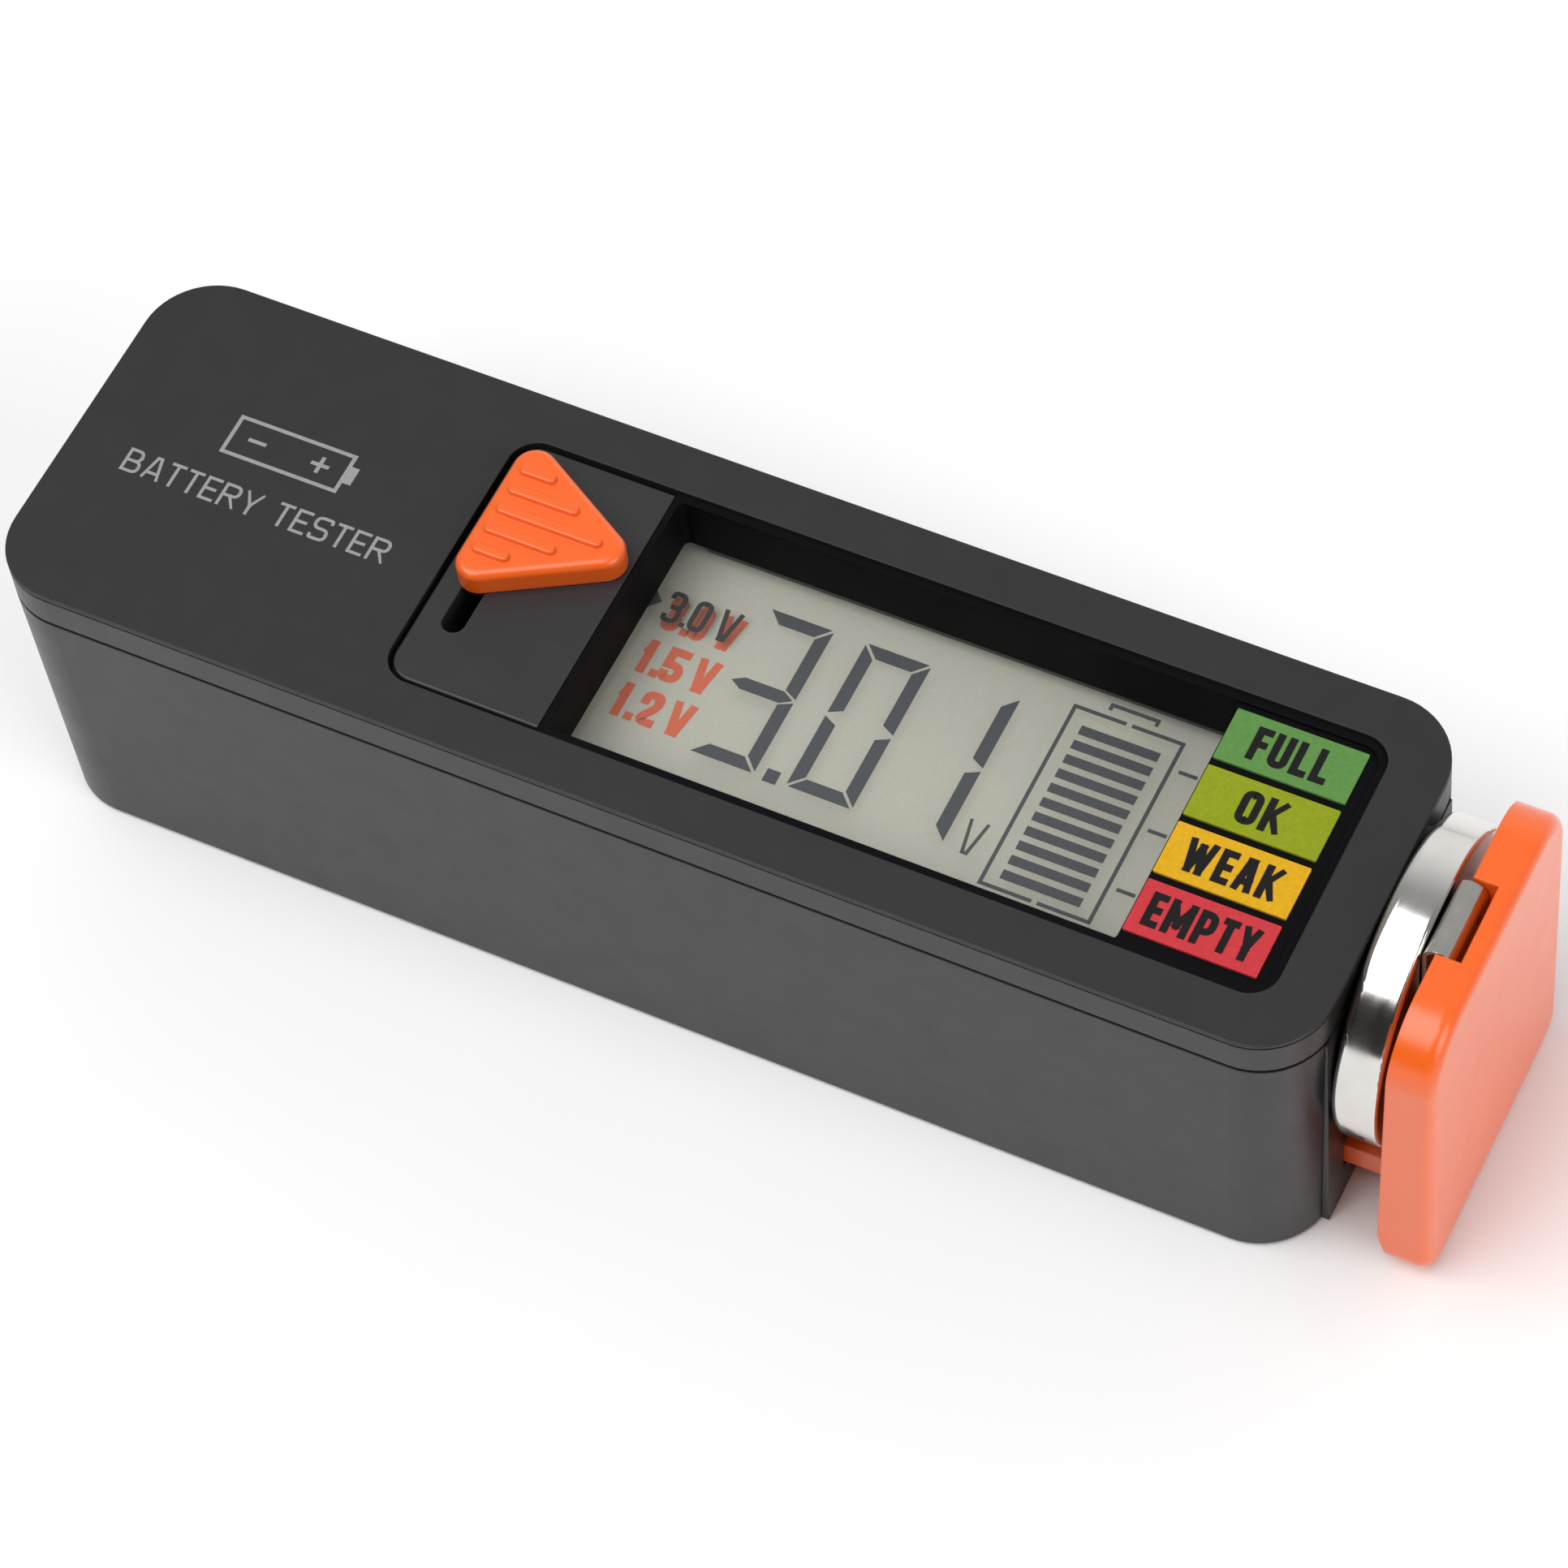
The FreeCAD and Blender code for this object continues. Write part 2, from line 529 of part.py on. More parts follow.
# ---------------------------------------------------------------- board and switch
def main_board():
    body = new_body("main_board")
    half = D.board_width / 2.0
    outline = rectangle(along(D.board_start), along(D.board_end), -half, half, D.board_corner)
    add(body, outline, D.board_bottom, BOARD_TOP)
    holes = discs(board_screw_places(), D.board_shank_radius + D.clamp_gap * 2.0)
    cut(body, holes, D.board_bottom - D.past, BOARD_TOP + D.past)
    return body


def controller_chip():
    """Moulded chip under the board, with a dimple at its first pin."""
    body = new_body("controller_chip")
    middle, half, bottom = along(D.chip_place), D.chip_side / 2.0, D.board_bottom - D.chip_height
    add(body, rectangle(middle - half, middle + half, -half, half, D.slide_gap), bottom, D.board_bottom)
    inset = D.chip_mark_inset
    dimple = discs([(middle - half + inset, inset - half)], D.chip_mark)
    cut(body, dimple, bottom - D.past, bottom + D.fit_gap)
    return body


def board_components():
    """Small resistors and capacitors under the board, in two rows beside the chip."""
    body = new_body("board_components", several=True)
    length, width = D.component_length / 2.0, D.component_width / 2.0
    for column in COMPONENT_COLUMNS:
        for side in SIDES:
            x, y = along(D.chip_place) + D.component_pitch * float(column), D.board_screw_side * side
            height = D.component_height + D.component_step * float(column % 2)
            block = rectangle(x - length, x + length, y - width, y + width)
            add(body, block, D.board_bottom - height, D.board_bottom)
    return body


def switch_base():
    body = new_body("switch_base")
    middle, half, reach = along(D.slot_place), D.switch_width / 2.0, D.switch_length / 2.0
    add(body, rectangle(middle - half, middle + half, -reach, reach, D.slide_gap), BOARD_TOP, SWITCH_TOP)
    slot = D.lever_width / 2.0 + D.fit_gap
    travel = D.knob_place + D.lever_length
    opening = rectangle(middle - slot, middle + slot, -travel, travel)
    cut(body, opening, SWITCH_TOP - D.lever_slot, SWITCH_TOP + D.past)
    return body


def switch_lever():
    body = new_body("switch_lever")
    middle, half, reach = along(D.slot_place), D.lever_width / 2.0, D.lever_length / 2.0
    face = rectangle(middle - half, middle + half, D.knob_place - reach, D.knob_place + reach, D.join)
    add(body, face, SWITCH_TOP - D.lever_height, SWITCH_TOP + D.lever_height)
    return body


def selector_knob():
    """Rounded triangle that points along the body, with five ridges across its travel."""
    body = new_body("selector_knob")
    bottom = TOP - D.panel_drop + D.knob_lift
    top, corner = bottom + D.knob_height, D.knob_corner
    base, side = along(D.knob_start) + corner, D.knob_width / 2.0 - corner
    tip = along(D.knob_start + D.knob_length) - corner
    centres = [(base, D.knob_place + side), (base, D.knob_place - side), (tip, D.knob_place)]
    add(body, rounded_triangle(centres, corner), bottom, top)
    soften(body, D.knob_edge, at_height(top))
    ridge, ridge_top = D.ridge_width / 2.0, top + D.ridge_height
    start = along(D.knob_start) + D.ridge_inset
    for step in RIDGE_STEPS:
        middle = D.knob_place + D.ridge_pitch * float(step)
        end = start + D.ridge_length - D.ridge_step * float(abs(step))
        outline = rectangle(start, end, middle - ridge, middle + ridge, D.ridge_corner)
        add(body, outline, top - D.clamp_gap, ridge_top)
    soften(body, D.ridge_edge, at_height(ridge_top))
    # stem through the slot, forked at its foot over the switch lever
    middle, half, reach = along(D.slot_place), D.stem_width / 2.0, D.stem_length / 2.0
    lever_top = SWITCH_TOP + D.lever_height
    stem = rectangle(middle - half, middle + half, D.knob_place - reach, D.knob_place + reach, D.stem_corner)
    add(body, stem, lever_top - D.stem_foot, bottom + D.join)
    grip = D.lever_length / 2.0 + D.stem_grip
    fork = rectangle(middle - D.stem_width, middle + D.stem_width, D.knob_place - grip, D.knob_place + grip)
    cut(body, fork, lever_top - D.stem_foot - D.past, lever_top + D.clamp_gap)
    return body


# ---------------------------------------------------------------- right end
def end_plate():
    """Plate that closes the right end, with a mouth for the slide bar and a hole for the contact."""
    body = new_body("end_plate")
    half, inner = D.end_plate_width / 2.0, RIGHT - D.end_plate_thickness
    face = rectangle(-half, half, D.fit_gap, D.seam_height - D.clamp_gap * 2.0, D.fit_gap)
    add(body, face, inner, RIGHT, "YZ_Plane")
    bar = D.bar_width / 2.0 + D.slide_gap
    mouth = rectangle(-bar, bar, D.bar_bottom - D.slide_gap, BAR_TOP + D.slide_gap * 2.0)
    cut(body, mouth, inner - D.past, RIGHT + D.past, "YZ_Plane")
    hole = discs([(ZERO, D.cell_height)], D.contact_radius + D.clamp_gap)
    cut(body, hole, inner - D.past, RIGHT + D.past, "YZ_Plane")
    hook, gap = HOOK_HALF + D.join, D.clamp_gap * 2.0
    slot = rectangle(-hook, hook, RIM_BOTTOM - gap, RIM_BOTTOM + D.hook_height + gap)
    cut(body, slot, inner - D.past, inner + D.hook_reach * 2.0, "YZ_Plane")
    return body


def end_contact():
    """Rivet-shaped contact for the cell's end, with a tail on the board."""
    body = new_body("end_contact")
    inner, tip = RIGHT - D.end_plate_thickness, RIGHT + D.contact_reach
    place = [(ZERO, D.cell_height)]
    back = inner - D.contact_head
    add(body, discs(place, D.contact_flange), back - D.clamp_gap, inner - D.clamp_gap, "YZ_Plane")
    add(body, discs(place, D.contact_radius), back, tip, "YZ_Plane")
    soften(body, D.contact_reach, at_length(tip))
    tail = D.tail_width / 2.0
    strap = rectangle(along(D.board_end) - D.join, back, -tail, tail)
    add(body, strap, BOARD_TOP, BOARD_TOP + D.strip_thickness)
    return body


def slide_guide():
    """Plate over the slide bar: its legs guide the bar and stop its ears, and its posts carry the board."""
    body = new_body("slide_guide")
    half, start, end = D.board_width / 2.0, along(D.board_start), INNER_RIGHT - D.fit_gap
    top, corner = D.guide_bottom + D.guide_thickness, D.corner_radius - D.wall
    plate = rectangle(start, end, -half, half, [D.board_corner, corner, corner, D.board_corner])
    add(body, plate, D.guide_bottom, top)
    stop, outer = along(D.stop_place), half - D.leg_inset
    beside_ears = (start, stop + D.join, D.ear_width / 2.0 + D.slide_gap)
    beside_bar = (stop, end - D.leg_end, D.bar_width / 2.0 + D.slide_gap)
    for first, last, inner in (beside_ears, beside_bar):
        for side in SIDES:
            low, high = on_side(side, inner, outer)
            add(body, rectangle(first, last, low, high), D.floor + D.clamp_gap, D.guide_bottom + D.join)
    add(body, discs(board_screw_places(), D.board_head_radius), top - D.join, D.board_bottom)
    pegs = [(along(D.board_end) - D.leg_end, D.board_screw_side * side) for side in SIDES]
    add(body, discs(pegs, D.board_head_radius), top - D.join, D.board_bottom)
    cut(body, discs(board_screw_places(), D.board_shank_radius + D.clamp_gap), top + D.past, BOARD_TOP)
    # window for the wiper
    middle, beside = along(D.wiper_place), D.rail_width / 2.0 + D.slide_gap
    window = rectangle(middle - D.wiper_reach, middle + D.wiper_reach, D.rail_middle - beside,
                       D.rail_middle + beside)
    cut(body, window, D.guide_bottom - D.past, top + D.past)
    return body


def arm_wiper():
    """Bent spring finger from the board's underside to the arm's strip."""
    body = new_body("arm_wiper")
    middle, leaf = along(D.wiper_place), D.strip_thickness
    top, foot, knee = D.board_bottom, middle - D.wiper_reach, middle - D.wiper_reach + D.wiper_foot
    tip, toe, low = middle + D.past, middle + D.past + D.wiper_toe, BAR_TOP + D.rail_leaf + D.clamp_gap
    points = [(foot, top), (foot, top - leaf), (knee, top - leaf), (tip, low), (toe, low + D.past),
              (toe, low + D.past + leaf), (tip, low + leaf), (knee + D.join, top)]
    half = D.wiper_width / 2.0
    add(body, polygon(points), D.rail_middle - half, D.rail_middle + half, "XZ_Plane")
    return body


# ---------------------------------------------------------------- arm
def slide_arm():
    """Upright plate that clamps the cell, on a flat bar that slides in the body."""
    body = new_body("slide_arm")
    outer, inner = along(D.arm_outer), along(D.arm_outer) - D.arm_thickness
    near, far = D.arm_middle - D.arm_width / 2.0, D.arm_middle + D.arm_width / 2.0
    radii = [D.arm_foot_corner, D.arm_foot_corner, D.arm_corner, D.arm_corner]
    add(body, rectangle(near, far, D.arm_bottom, D.arm_top, radii), inner - D.fit_gap, outer, "YZ_Plane")
    soften(body, D.arm_edge, at_length(outer))
    # the inner face leans away from the cell towards the top, and its foot is bevelled
    low, high = D.arm_bottom, D.arm_top
    slope = [(inner - D.past, low - D.past), (inner + D.arm_edge, low - D.past),
             (inner + D.arm_edge, low), (inner, low + D.arm_chamfer),
             (inner + D.arm_lean, high + D.join), (inner - D.past, high + D.join)]
    cut(body, polygon(slope), -HALF, HALF, "XZ_Plane")
    bar, bar_start = D.bar_width / 2.0, along(D.bar_start)
    add(body, rectangle(bar_start, inner + D.past, -bar, bar), D.bar_bottom, BAR_TOP)
    ear, ear_start = D.ear_width / 2.0, along(D.ear_start)
    add(body, rectangle(ear_start, ear_start + D.ear_length, -ear, ear), D.bar_bottom, BAR_TOP)
    # the bar's end is forked round the return spring, which hooks on a peg at the root of the fork
    fork, root, hook = D.fork_width / 2.0, along(D.fork_end), D.hook_width / 2.0
    cut(body, rectangle(bar_start - D.past, root, -fork, fork), D.bar_bottom - D.past, BAR_TOP + D.past)
    add(body, rectangle(root - D.hook_length, root + D.join, -hook, hook), D.bar_bottom, BAR_TOP)
    # notch for the folded end of the contact strip
    low, high = D.notch_middle - D.notch_width / 2.0, D.notch_middle + D.notch_width / 2.0
    notch = rectangle(low, high, D.notch_floor, D.arm_top + D.past)
    cut(body, notch, inner - D.past, along(D.notch_back), "YZ_Plane")
    return body


def arm_contact():
    """Metal strip: along the bar, up the inner face of the arm and folded over into its notch."""
    body = new_body("arm_contact")
    front, leaf, bend = along(D.strip_front), D.strip_thickness, D.strip_bend
    back = front + bend * 2.0
    low, high = D.notch_middle - D.strip_width / 2.0, D.notch_middle + D.strip_width / 2.0
    folded = rectangle(front, back, BAR_TOP, D.strip_top, [None, None, D.strip_corner, D.strip_corner])
    add(body, folded, low, high, "XZ_Plane")
    inside = rectangle(front + leaf, back - leaf, BAR_TOP - D.past, D.strip_top - leaf,
                       [None, None, D.strip_bore_corner, D.strip_bore_corner])
    cut(body, inside, low - D.past, high + D.past, "XZ_Plane")
    behind = rectangle(front + leaf, back + D.past, BAR_TOP - D.past, D.notch_floor + bend)
    cut(body, behind, low - D.past, high + D.past, "XZ_Plane")
    rail = D.rail_width / 2.0
    strip = rectangle(along(D.rail_start), front + leaf, D.rail_middle - rail, D.rail_middle + rail)
    add(body, strip, BAR_TOP, BAR_TOP + D.rail_leaf)
    return body


def return_spring():
    """Extension spring between the housing's post and the peg in the slide bar's fork."""
    spring = doc.addObject("Part::Feature", "return_spring")
    radius, wire, pitch = sheet.spring_radius, sheet.spring_wire, sheet.spring_pitch
    helix = Part.makeHelix(pitch, pitch * sheet.spring_turns, radius)
    section = Part.Wire(Part.makeCircle(wire, Vector(radius, 0, 0), Vector(0, 1, 0)))
    spring.Shape = Part.Wire(helix).makePipeShell([section], True, True)
    middle = sheet.bar_bottom + sheet.bar_thickness / 2.0
    spring.Placement = Placement(Vector(sheet.spring_start - sheet.arm_outer / 2.0, 0, middle),
                                 Rotation(Vector(0, 1, 0), 90))
    return spring


# ---------------------------------------------------------------- cell under test
def turned_disc(name, start, end, outer, inner=None):
    """A disc or ring on the cell's axis."""
    body = new_body(name)
    place = [(ZERO, D.cell_height)]
    add(body, discs(place, outer), start, end, "YZ_Plane")
    if inner is not None:
        cut(body, discs(place, inner), start - D.past, end + D.past, "YZ_Plane")
    return body


def test_cell():
    """Coin cell on its edge: a can, the cap that faces the body, and the gasket ring between them."""
    face, back = along(D.cell_face), along(D.cell_face) + D.cell_thickness
    shoulder, seat = face + D.cap_step / 2.0, face + D.cap_step
    can = turned_disc("test_cell_can", shoulder, back, D.cell_radius)
    soften(can, D.can_edge, at_length(shoulder))
    soften(can, D.cell_edge, at_length(back))
    cut(can, discs([(ZERO, D.cell_height)], D.gasket_radius), shoulder - D.past, seat, "YZ_Plane")
    gasket = turned_disc("test_cell_gasket", shoulder, seat, D.gasket_radius, D.cap_radius)
    cap = turned_disc("test_cell_cap", face, seat, D.cap_radius)
    soften(cap, D.cell_edge, at_length(face))
    return [can, gasket, cap]


# ---------------------------------------------------------------- supply
def cell_cradle():
    """Box that holds the two supply cells, open towards the door, with slots for the contacts."""
    body = new_body("cell_cradle")
    start, end, half = along(D.cradle_start), along(D.cradle_end), D.cradle_width / 2.0
    inner, round_cells = D.supply_thickness + D.cradle_space, D.supply_radius + D.join
    add(body, rectangle(start, end, -half, half, D.slide_gap), D.cradle_bottom, D.cradle_top)
    space = rectangle(-inner, inner, D.supply_height - round_cells, D.supply_height + round_cells)
    cut(body, space, start - D.past, end - D.cradle_end_wall, "YZ_Plane")
    for side in SIDES:
        low, high = on_side(side, inner - D.supply_lip - D.cradle_space, inner)
        slot = rectangle(low, high, BOARD_TOP + D.clamp_gap * 2.0, BOARD_TOP + D.supply_lip)
        cut(body, slot, end - D.cradle_end_wall - D.past, end + D.past, "YZ_Plane")
    return body


def supply_cell(name, side):
    """One button cell lying on its edge, its wide can on the side away from the middle."""
    body = new_body(name)
    place = [(along(D.supply_place), D.supply_height)]
    cap = on_side(side, D.supply_gap, D.supply_lip)
    can = on_side(side, D.supply_lip, D.supply_thickness)
    add(body, discs(place, D.supply_cap_radius), *cap, "XZ_Plane")
    add(body, discs(place, D.supply_radius), *can, "XZ_Plane")
    return body


def supply_contact(name, side):
    """Leaf beside a supply cell, turned through the cradle's slot on to the board."""
    body = new_body(name)
    start, end = along(D.cradle_start) + D.supply_lip, along(D.cradle_end) - D.cradle_end_wall
    near, far = D.supply_thickness + D.clamp_gap, D.supply_thickness + D.clamp_gap + D.supply_contact
    foot, foot_top = BOARD_TOP + D.slide_gap, BOARD_TOP + D.slide_gap * 2.0
    low, high = on_side(side, near, far)
    add(body, rectangle(start, end - D.join, low, high), D.supply_height - D.contact_drop, foot_top)
    low, high = on_side(side, far - D.past, far)
    add(body, rectangle(end - D.supply_contact * 2.0, end + D.cradle_end_wall + D.leg_end, low, high), foot,
        foot_top)
    return body


def battery_door():
    """Door in the left end, flush with the leaning wall, with a plug behind it and a groove to pull by."""
    body = new_body("battery_door")

    def face(z):
        return LEFT + D.left_draft - D.left_draft * (z / D.seam_height)
    inner, half = LEFT + D.wall, D.door_width / 2.0
    points = [(face(D.door_bottom), D.door_bottom), (inner, D.door_bottom), (inner, D.door_top),
              (face(D.door_top), D.door_top)]
    add(body, polygon(points), -half, half, "XZ_Plane")
    inset = D.plug_inset
    plug = rectangle(inset - half, half - inset, D.door_bottom + inset, D.door_top - inset, inset)
    add(body, plug, inner - D.join, along(D.cradle_start) - D.clamp_gap * 2.0, "YZ_Plane")
    grip, groove_top = half / 2.0, D.door_top - D.door_grip
    groove = rectangle(-grip, grip, groove_top - D.door_grip, groove_top, D.slide_gap)
    cut(body, groove, LEFT - D.past, LEFT + D.door_grip_depth, "YZ_Plane")
    return body


# ---------------------------------------------------------------- fasteners
def cross_recess(body, places, head, low, high):
    """Cross for a screwdriver in every head."""
    reach, width = head * D.recess_share, head * D.recess_slot
    for across, up in places:
        for half_x, half_y in ((reach, width), (width, reach)):
            cut(body, rectangle(across - half_x, across + half_x, up - half_y, up + half_y), low, high)


def case_screws():
    body = new_body("case_screws", several=True)
    places, seat = case_screw_places(), D.floor - D.head_seat
    bottom = seat - D.case_head_height
    add(body, discs(places, D.case_head_radius), bottom, seat)
    add(body, discs(places, D.case_shank_radius), seat - D.clamp_gap, D.board_bottom - D.past)
    cross_recess(body, places, D.case_head_radius, bottom - D.past, bottom + D.recess_deep)
    return body


def board_screws():
    body = new_body("board_screws", several=True)
    places, top = board_screw_places(), BOARD_TOP + D.board_head_height
    add(body, discs(places, D.board_head_radius), BOARD_TOP, top)
    add(body, discs(places, D.board_shank_radius), D.board_bottom - D.contact_drop, BOARD_TOP + D.clamp_gap)
    cross_recess(body, places, D.board_head_radius, top - D.recess_deep, top + D.past)
    return body


# ---------------------------------------------------------------- build, check and write
def build():
    parts = [lower_housing(), upper_cover(), slider_panel(), display_bezel()]
    for name, place in LABELS:
        parts.append(range_label(name, place))
    parts += display_layers()
    parts += [zebra_strip("zebra_strip_near", -1), zebra_strip("zebra_strip_far", 1), display_holder()]
    parts += [main_board(), controller_chip(), board_components()]
    parts += [switch_base(), switch_lever(), selector_knob()]
    parts += [end_plate(), end_contact(), slide_guide(), arm_wiper()]
    parts += [slide_arm(), arm_contact(), return_spring()]
    parts += test_cell()
    parts += [cell_cradle(), supply_cell("supply_cell_near", -1), supply_cell("supply_cell_far", 1)]
    parts += [supply_contact("supply_contact_minus", -1), supply_contact("supply_contact_plus", 1)]
    parts += [battery_door(), case_screws(), board_screws()]
    return parts


def write(parts):
    doc.recompute()
    failed = [item.Label for item in doc.Objects if {"Invalid", "Error"} & set(item.State)]
    failed += [part.Label for part in parts if part.Shape.isNull() or not part.Shape.isValid()]
    if failed:
        raise RuntimeError("these did not build: " + ", ".join(failed))
    os.makedirs("parts", exist_ok=True)
    for part in parts:
        part.Shape.exportStep("parts/%s.step" % part.Label)
        print("%-22s %d solids %9.2f mm3" % (part.Label, len(part.Shape.Solids), part.Shape.Volume))


write(build())
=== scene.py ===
import json
import math

import bmesh
import bpy
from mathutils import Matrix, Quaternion, Vector


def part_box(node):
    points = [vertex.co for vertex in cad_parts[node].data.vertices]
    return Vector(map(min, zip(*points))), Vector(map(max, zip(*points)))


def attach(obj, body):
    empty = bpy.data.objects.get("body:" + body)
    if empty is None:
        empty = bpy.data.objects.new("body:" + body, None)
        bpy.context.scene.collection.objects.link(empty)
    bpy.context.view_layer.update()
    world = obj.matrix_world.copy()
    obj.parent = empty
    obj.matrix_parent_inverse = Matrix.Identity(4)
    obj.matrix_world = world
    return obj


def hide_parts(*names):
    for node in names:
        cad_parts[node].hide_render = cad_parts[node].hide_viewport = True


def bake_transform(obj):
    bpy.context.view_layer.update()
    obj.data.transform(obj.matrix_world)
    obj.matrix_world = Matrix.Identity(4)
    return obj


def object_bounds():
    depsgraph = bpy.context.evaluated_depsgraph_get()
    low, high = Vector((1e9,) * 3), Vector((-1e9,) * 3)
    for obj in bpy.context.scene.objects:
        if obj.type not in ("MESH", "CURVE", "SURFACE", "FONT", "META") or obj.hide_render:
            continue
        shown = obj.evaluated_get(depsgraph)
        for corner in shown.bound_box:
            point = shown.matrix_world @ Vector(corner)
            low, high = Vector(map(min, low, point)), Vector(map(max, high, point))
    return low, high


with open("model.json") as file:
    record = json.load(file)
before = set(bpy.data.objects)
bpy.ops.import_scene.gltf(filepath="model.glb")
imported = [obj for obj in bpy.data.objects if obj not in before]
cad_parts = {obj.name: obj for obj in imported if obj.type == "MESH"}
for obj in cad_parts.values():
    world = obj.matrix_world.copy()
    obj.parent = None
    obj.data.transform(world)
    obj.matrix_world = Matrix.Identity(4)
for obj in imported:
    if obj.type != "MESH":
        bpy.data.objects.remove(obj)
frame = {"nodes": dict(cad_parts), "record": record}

# Looks for the pocket battery tester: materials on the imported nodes, the display's segments and legends,
# the print on the labels and cover, the return spring, and a plain studio. Lengths are in metres, and MM
# turns the millimetres that the graphics are laid out in into metres.
MM = 0.001
# the span that most of a noise texture's values fall in, and the scale built into the wave texture
NOISE_LOW, NOISE_HIGH, WAVE_SCALE = 0.3, 0.7, 20.0
CAD_BOX = [list(corner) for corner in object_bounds()]


# ---------------------------------------------------------------- material helpers
class Paint:
    """A Principled material whose colour, roughness and relief are built up from procedural nodes."""

    def __init__(self, name, color, roughness, metallic=0.0, specular=0.5, alpha=1.0, coat=0.0,
                 coat_roughness=0.08):
        self.material = bpy.data.materials.new(name)
        self.material.use_nodes = True
        self.nodes = self.material.node_tree.nodes
        self.links = self.material.node_tree.links
        self.shader = self.nodes["Principled BSDF"]
        self.color = color
        self.coordinates = self.nodes.new("ShaderNodeTexCoord").outputs["Object"]
        self.normal = None
        settings = {"Base Color": (*color, 1.0), "Roughness": roughness, "Metallic": metallic,
                    "Specular IOR Level": specular, "Alpha": alpha, "Coat Weight": coat,
                    "Coat Roughness": coat_roughness}
        for socket, value in settings.items():
            self.shader.inputs[socket].default_value = value

    def noise(self, size, detail=3.0, stretch=(1.0, 1.0, 1.0)):
        """Noise whose features are about size metres across, drawn out along the axes by stretch."""
        mapping = self.nodes.new("ShaderNodeMapping")
        mapping.inputs["Scale"].default_value = [1.0 / (size * share) for share in stretch]
        texture = self.nodes.new("ShaderNodeTexNoise")
        texture.inputs["Scale"].default_value = 1.0
        texture.inputs["Detail"].default_value = detail
        self.links.new(self.coordinates, mapping.inputs["Vector"])
        self.links.new(mapping.outputs["Vector"], texture.inputs["Vector"])
        return texture.outputs["Fac"]

    def stripes(self, pitch, axis):
        """Hard light and dark stripes square to an axis."""
        mapping = self.nodes.new("ShaderNodeMapping")
        mapping.inputs["Scale"].default_value = [2.0 * math.pi / (pitch * WAVE_SCALE)] * 3
        texture = self.nodes.new("ShaderNodeTexWave")
        texture.wave_type, texture.bands_direction = "BANDS", axis
        texture.inputs["Scale"].default_value = 1.0
        self.links.new(self.coordinates, mapping.inputs["Vector"])
        self.links.new(mapping.outputs["Vector"], texture.inputs["Vector"])
        return texture.outputs["Fac"]

    def ramp(self, fac, low, high, start=NOISE_LOW, end=NOISE_HIGH):
        """Turn a grey value into a colour between low and high."""
        ramp = self.nodes.new("ShaderNodeValToRGB")
        for element, place, color in zip(ramp.color_ramp.elements, (start, end), (low, high)):
            element.position, element.color = place, (*color, 1.0)
        self.links.new(fac, ramp.inputs["Fac"])
        return ramp.outputs["Color"]

    def mottle(self, fac, share):
        """Vary the base colour by plus or minus share."""
        tones = [tuple(min(1.0, part * tone) for part in self.color) for tone in (1.0 - share, 1.0 + share)]
        self.links.new(self.ramp(fac, *tones), self.shader.inputs["Base Color"])
        return self

    def vary_gloss(self, fac, low, high):
        spread = self.nodes.new("ShaderNodeMapRange")
        spread.inputs["From Min"].default_value = NOISE_LOW
        spread.inputs["From Max"].default_value = NOISE_HIGH
        spread.inputs["To Min"].default_value, spread.inputs["To Max"].default_value = low, high
        self.links.new(fac, spread.inputs["Value"])
        self.links.new(spread.outputs["Result"], self.shader.inputs["Roughness"])
        return self

    def round_edges(self, radius):
        bevel = self.nodes.new("ShaderNodeBevel")
        bevel.inputs["Radius"].default_value = radius
        self.normal = bevel.outputs["Normal"]
        self.links.new(self.normal, self.shader.inputs["Normal"])
        return self

    def relief(self, fac, height, strength=1.0):
        """Raise the surface by height metres where fac is 1. Calls add up."""
        bump = self.nodes.new("ShaderNodeBump")
        bump.inputs["Distance"].default_value, bump.inputs["Strength"].default_value = height, strength
        self.links.new(fac, bump.inputs["Height"])
        if self.normal is not None:
            self.links.new(self.normal, bump.inputs["Normal"])
        self.normal = bump.outputs["Normal"]
        self.links.new(self.normal, self.shader.inputs["Normal"])
        return self


def moulded(name, color, roughness, grain=0.00020, depth=0.000006, edge=0.00012, cloud=0.04, **settings):
    """Moulded plastic: fine grain from the tool, faint cloudiness and slightly uneven gloss."""
    paint = Paint(name, color, roughness, **settings).round_edges(edge)
    paint.mottle(paint.noise(0.006), cloud)
    paint.vary_gloss(paint.noise(0.0022), roughness * 0.94, roughness * 1.06)
    paint.relief(paint.noise(grain, detail=2.0), depth)
    return paint.material


def printed(name, color, roughness, specular=0.3):
    """Ink or printed film: an even colour with a fine dot grain."""
    paint = Paint(name, color, roughness, specular=specular)
    paint.mottle(paint.noise(0.00025, detail=1.0), 0.06)
    paint.vary_gloss(paint.noise(0.001), roughness * 0.85, roughness * 1.15)
    paint.relief(paint.noise(0.0002), 0.000002)
    return paint.material


def drawn_metal(name, color, roughness, stretch, depth=0.0000012):
    """Bright metal with fine lines along the way it was drawn or spun, and faint handling marks."""
    paint = Paint(name, color, roughness, metallic=1.0).round_edges(0.00006)
    paint.mottle(paint.noise(0.0025), 0.05)
    paint.vary_gloss(paint.noise(0.0009, stretch=stretch), roughness * 0.7, roughness * 1.4)
    paint.relief(paint.noise(0.00009, detail=4.0, stretch=stretch), depth)
    return paint.material


def clear_sheet(name):
    """Clear glass over the display: see-through, with a faint green body and a soft polariser film."""
    paint = Paint(name, (0.60, 0.63, 0.57), 0.16, alpha=0.04)
    paint.vary_gloss(paint.noise(0.003), 0.12, 0.20)
    paint.relief(paint.noise(0.0012), 0.000001)
    return paint.material


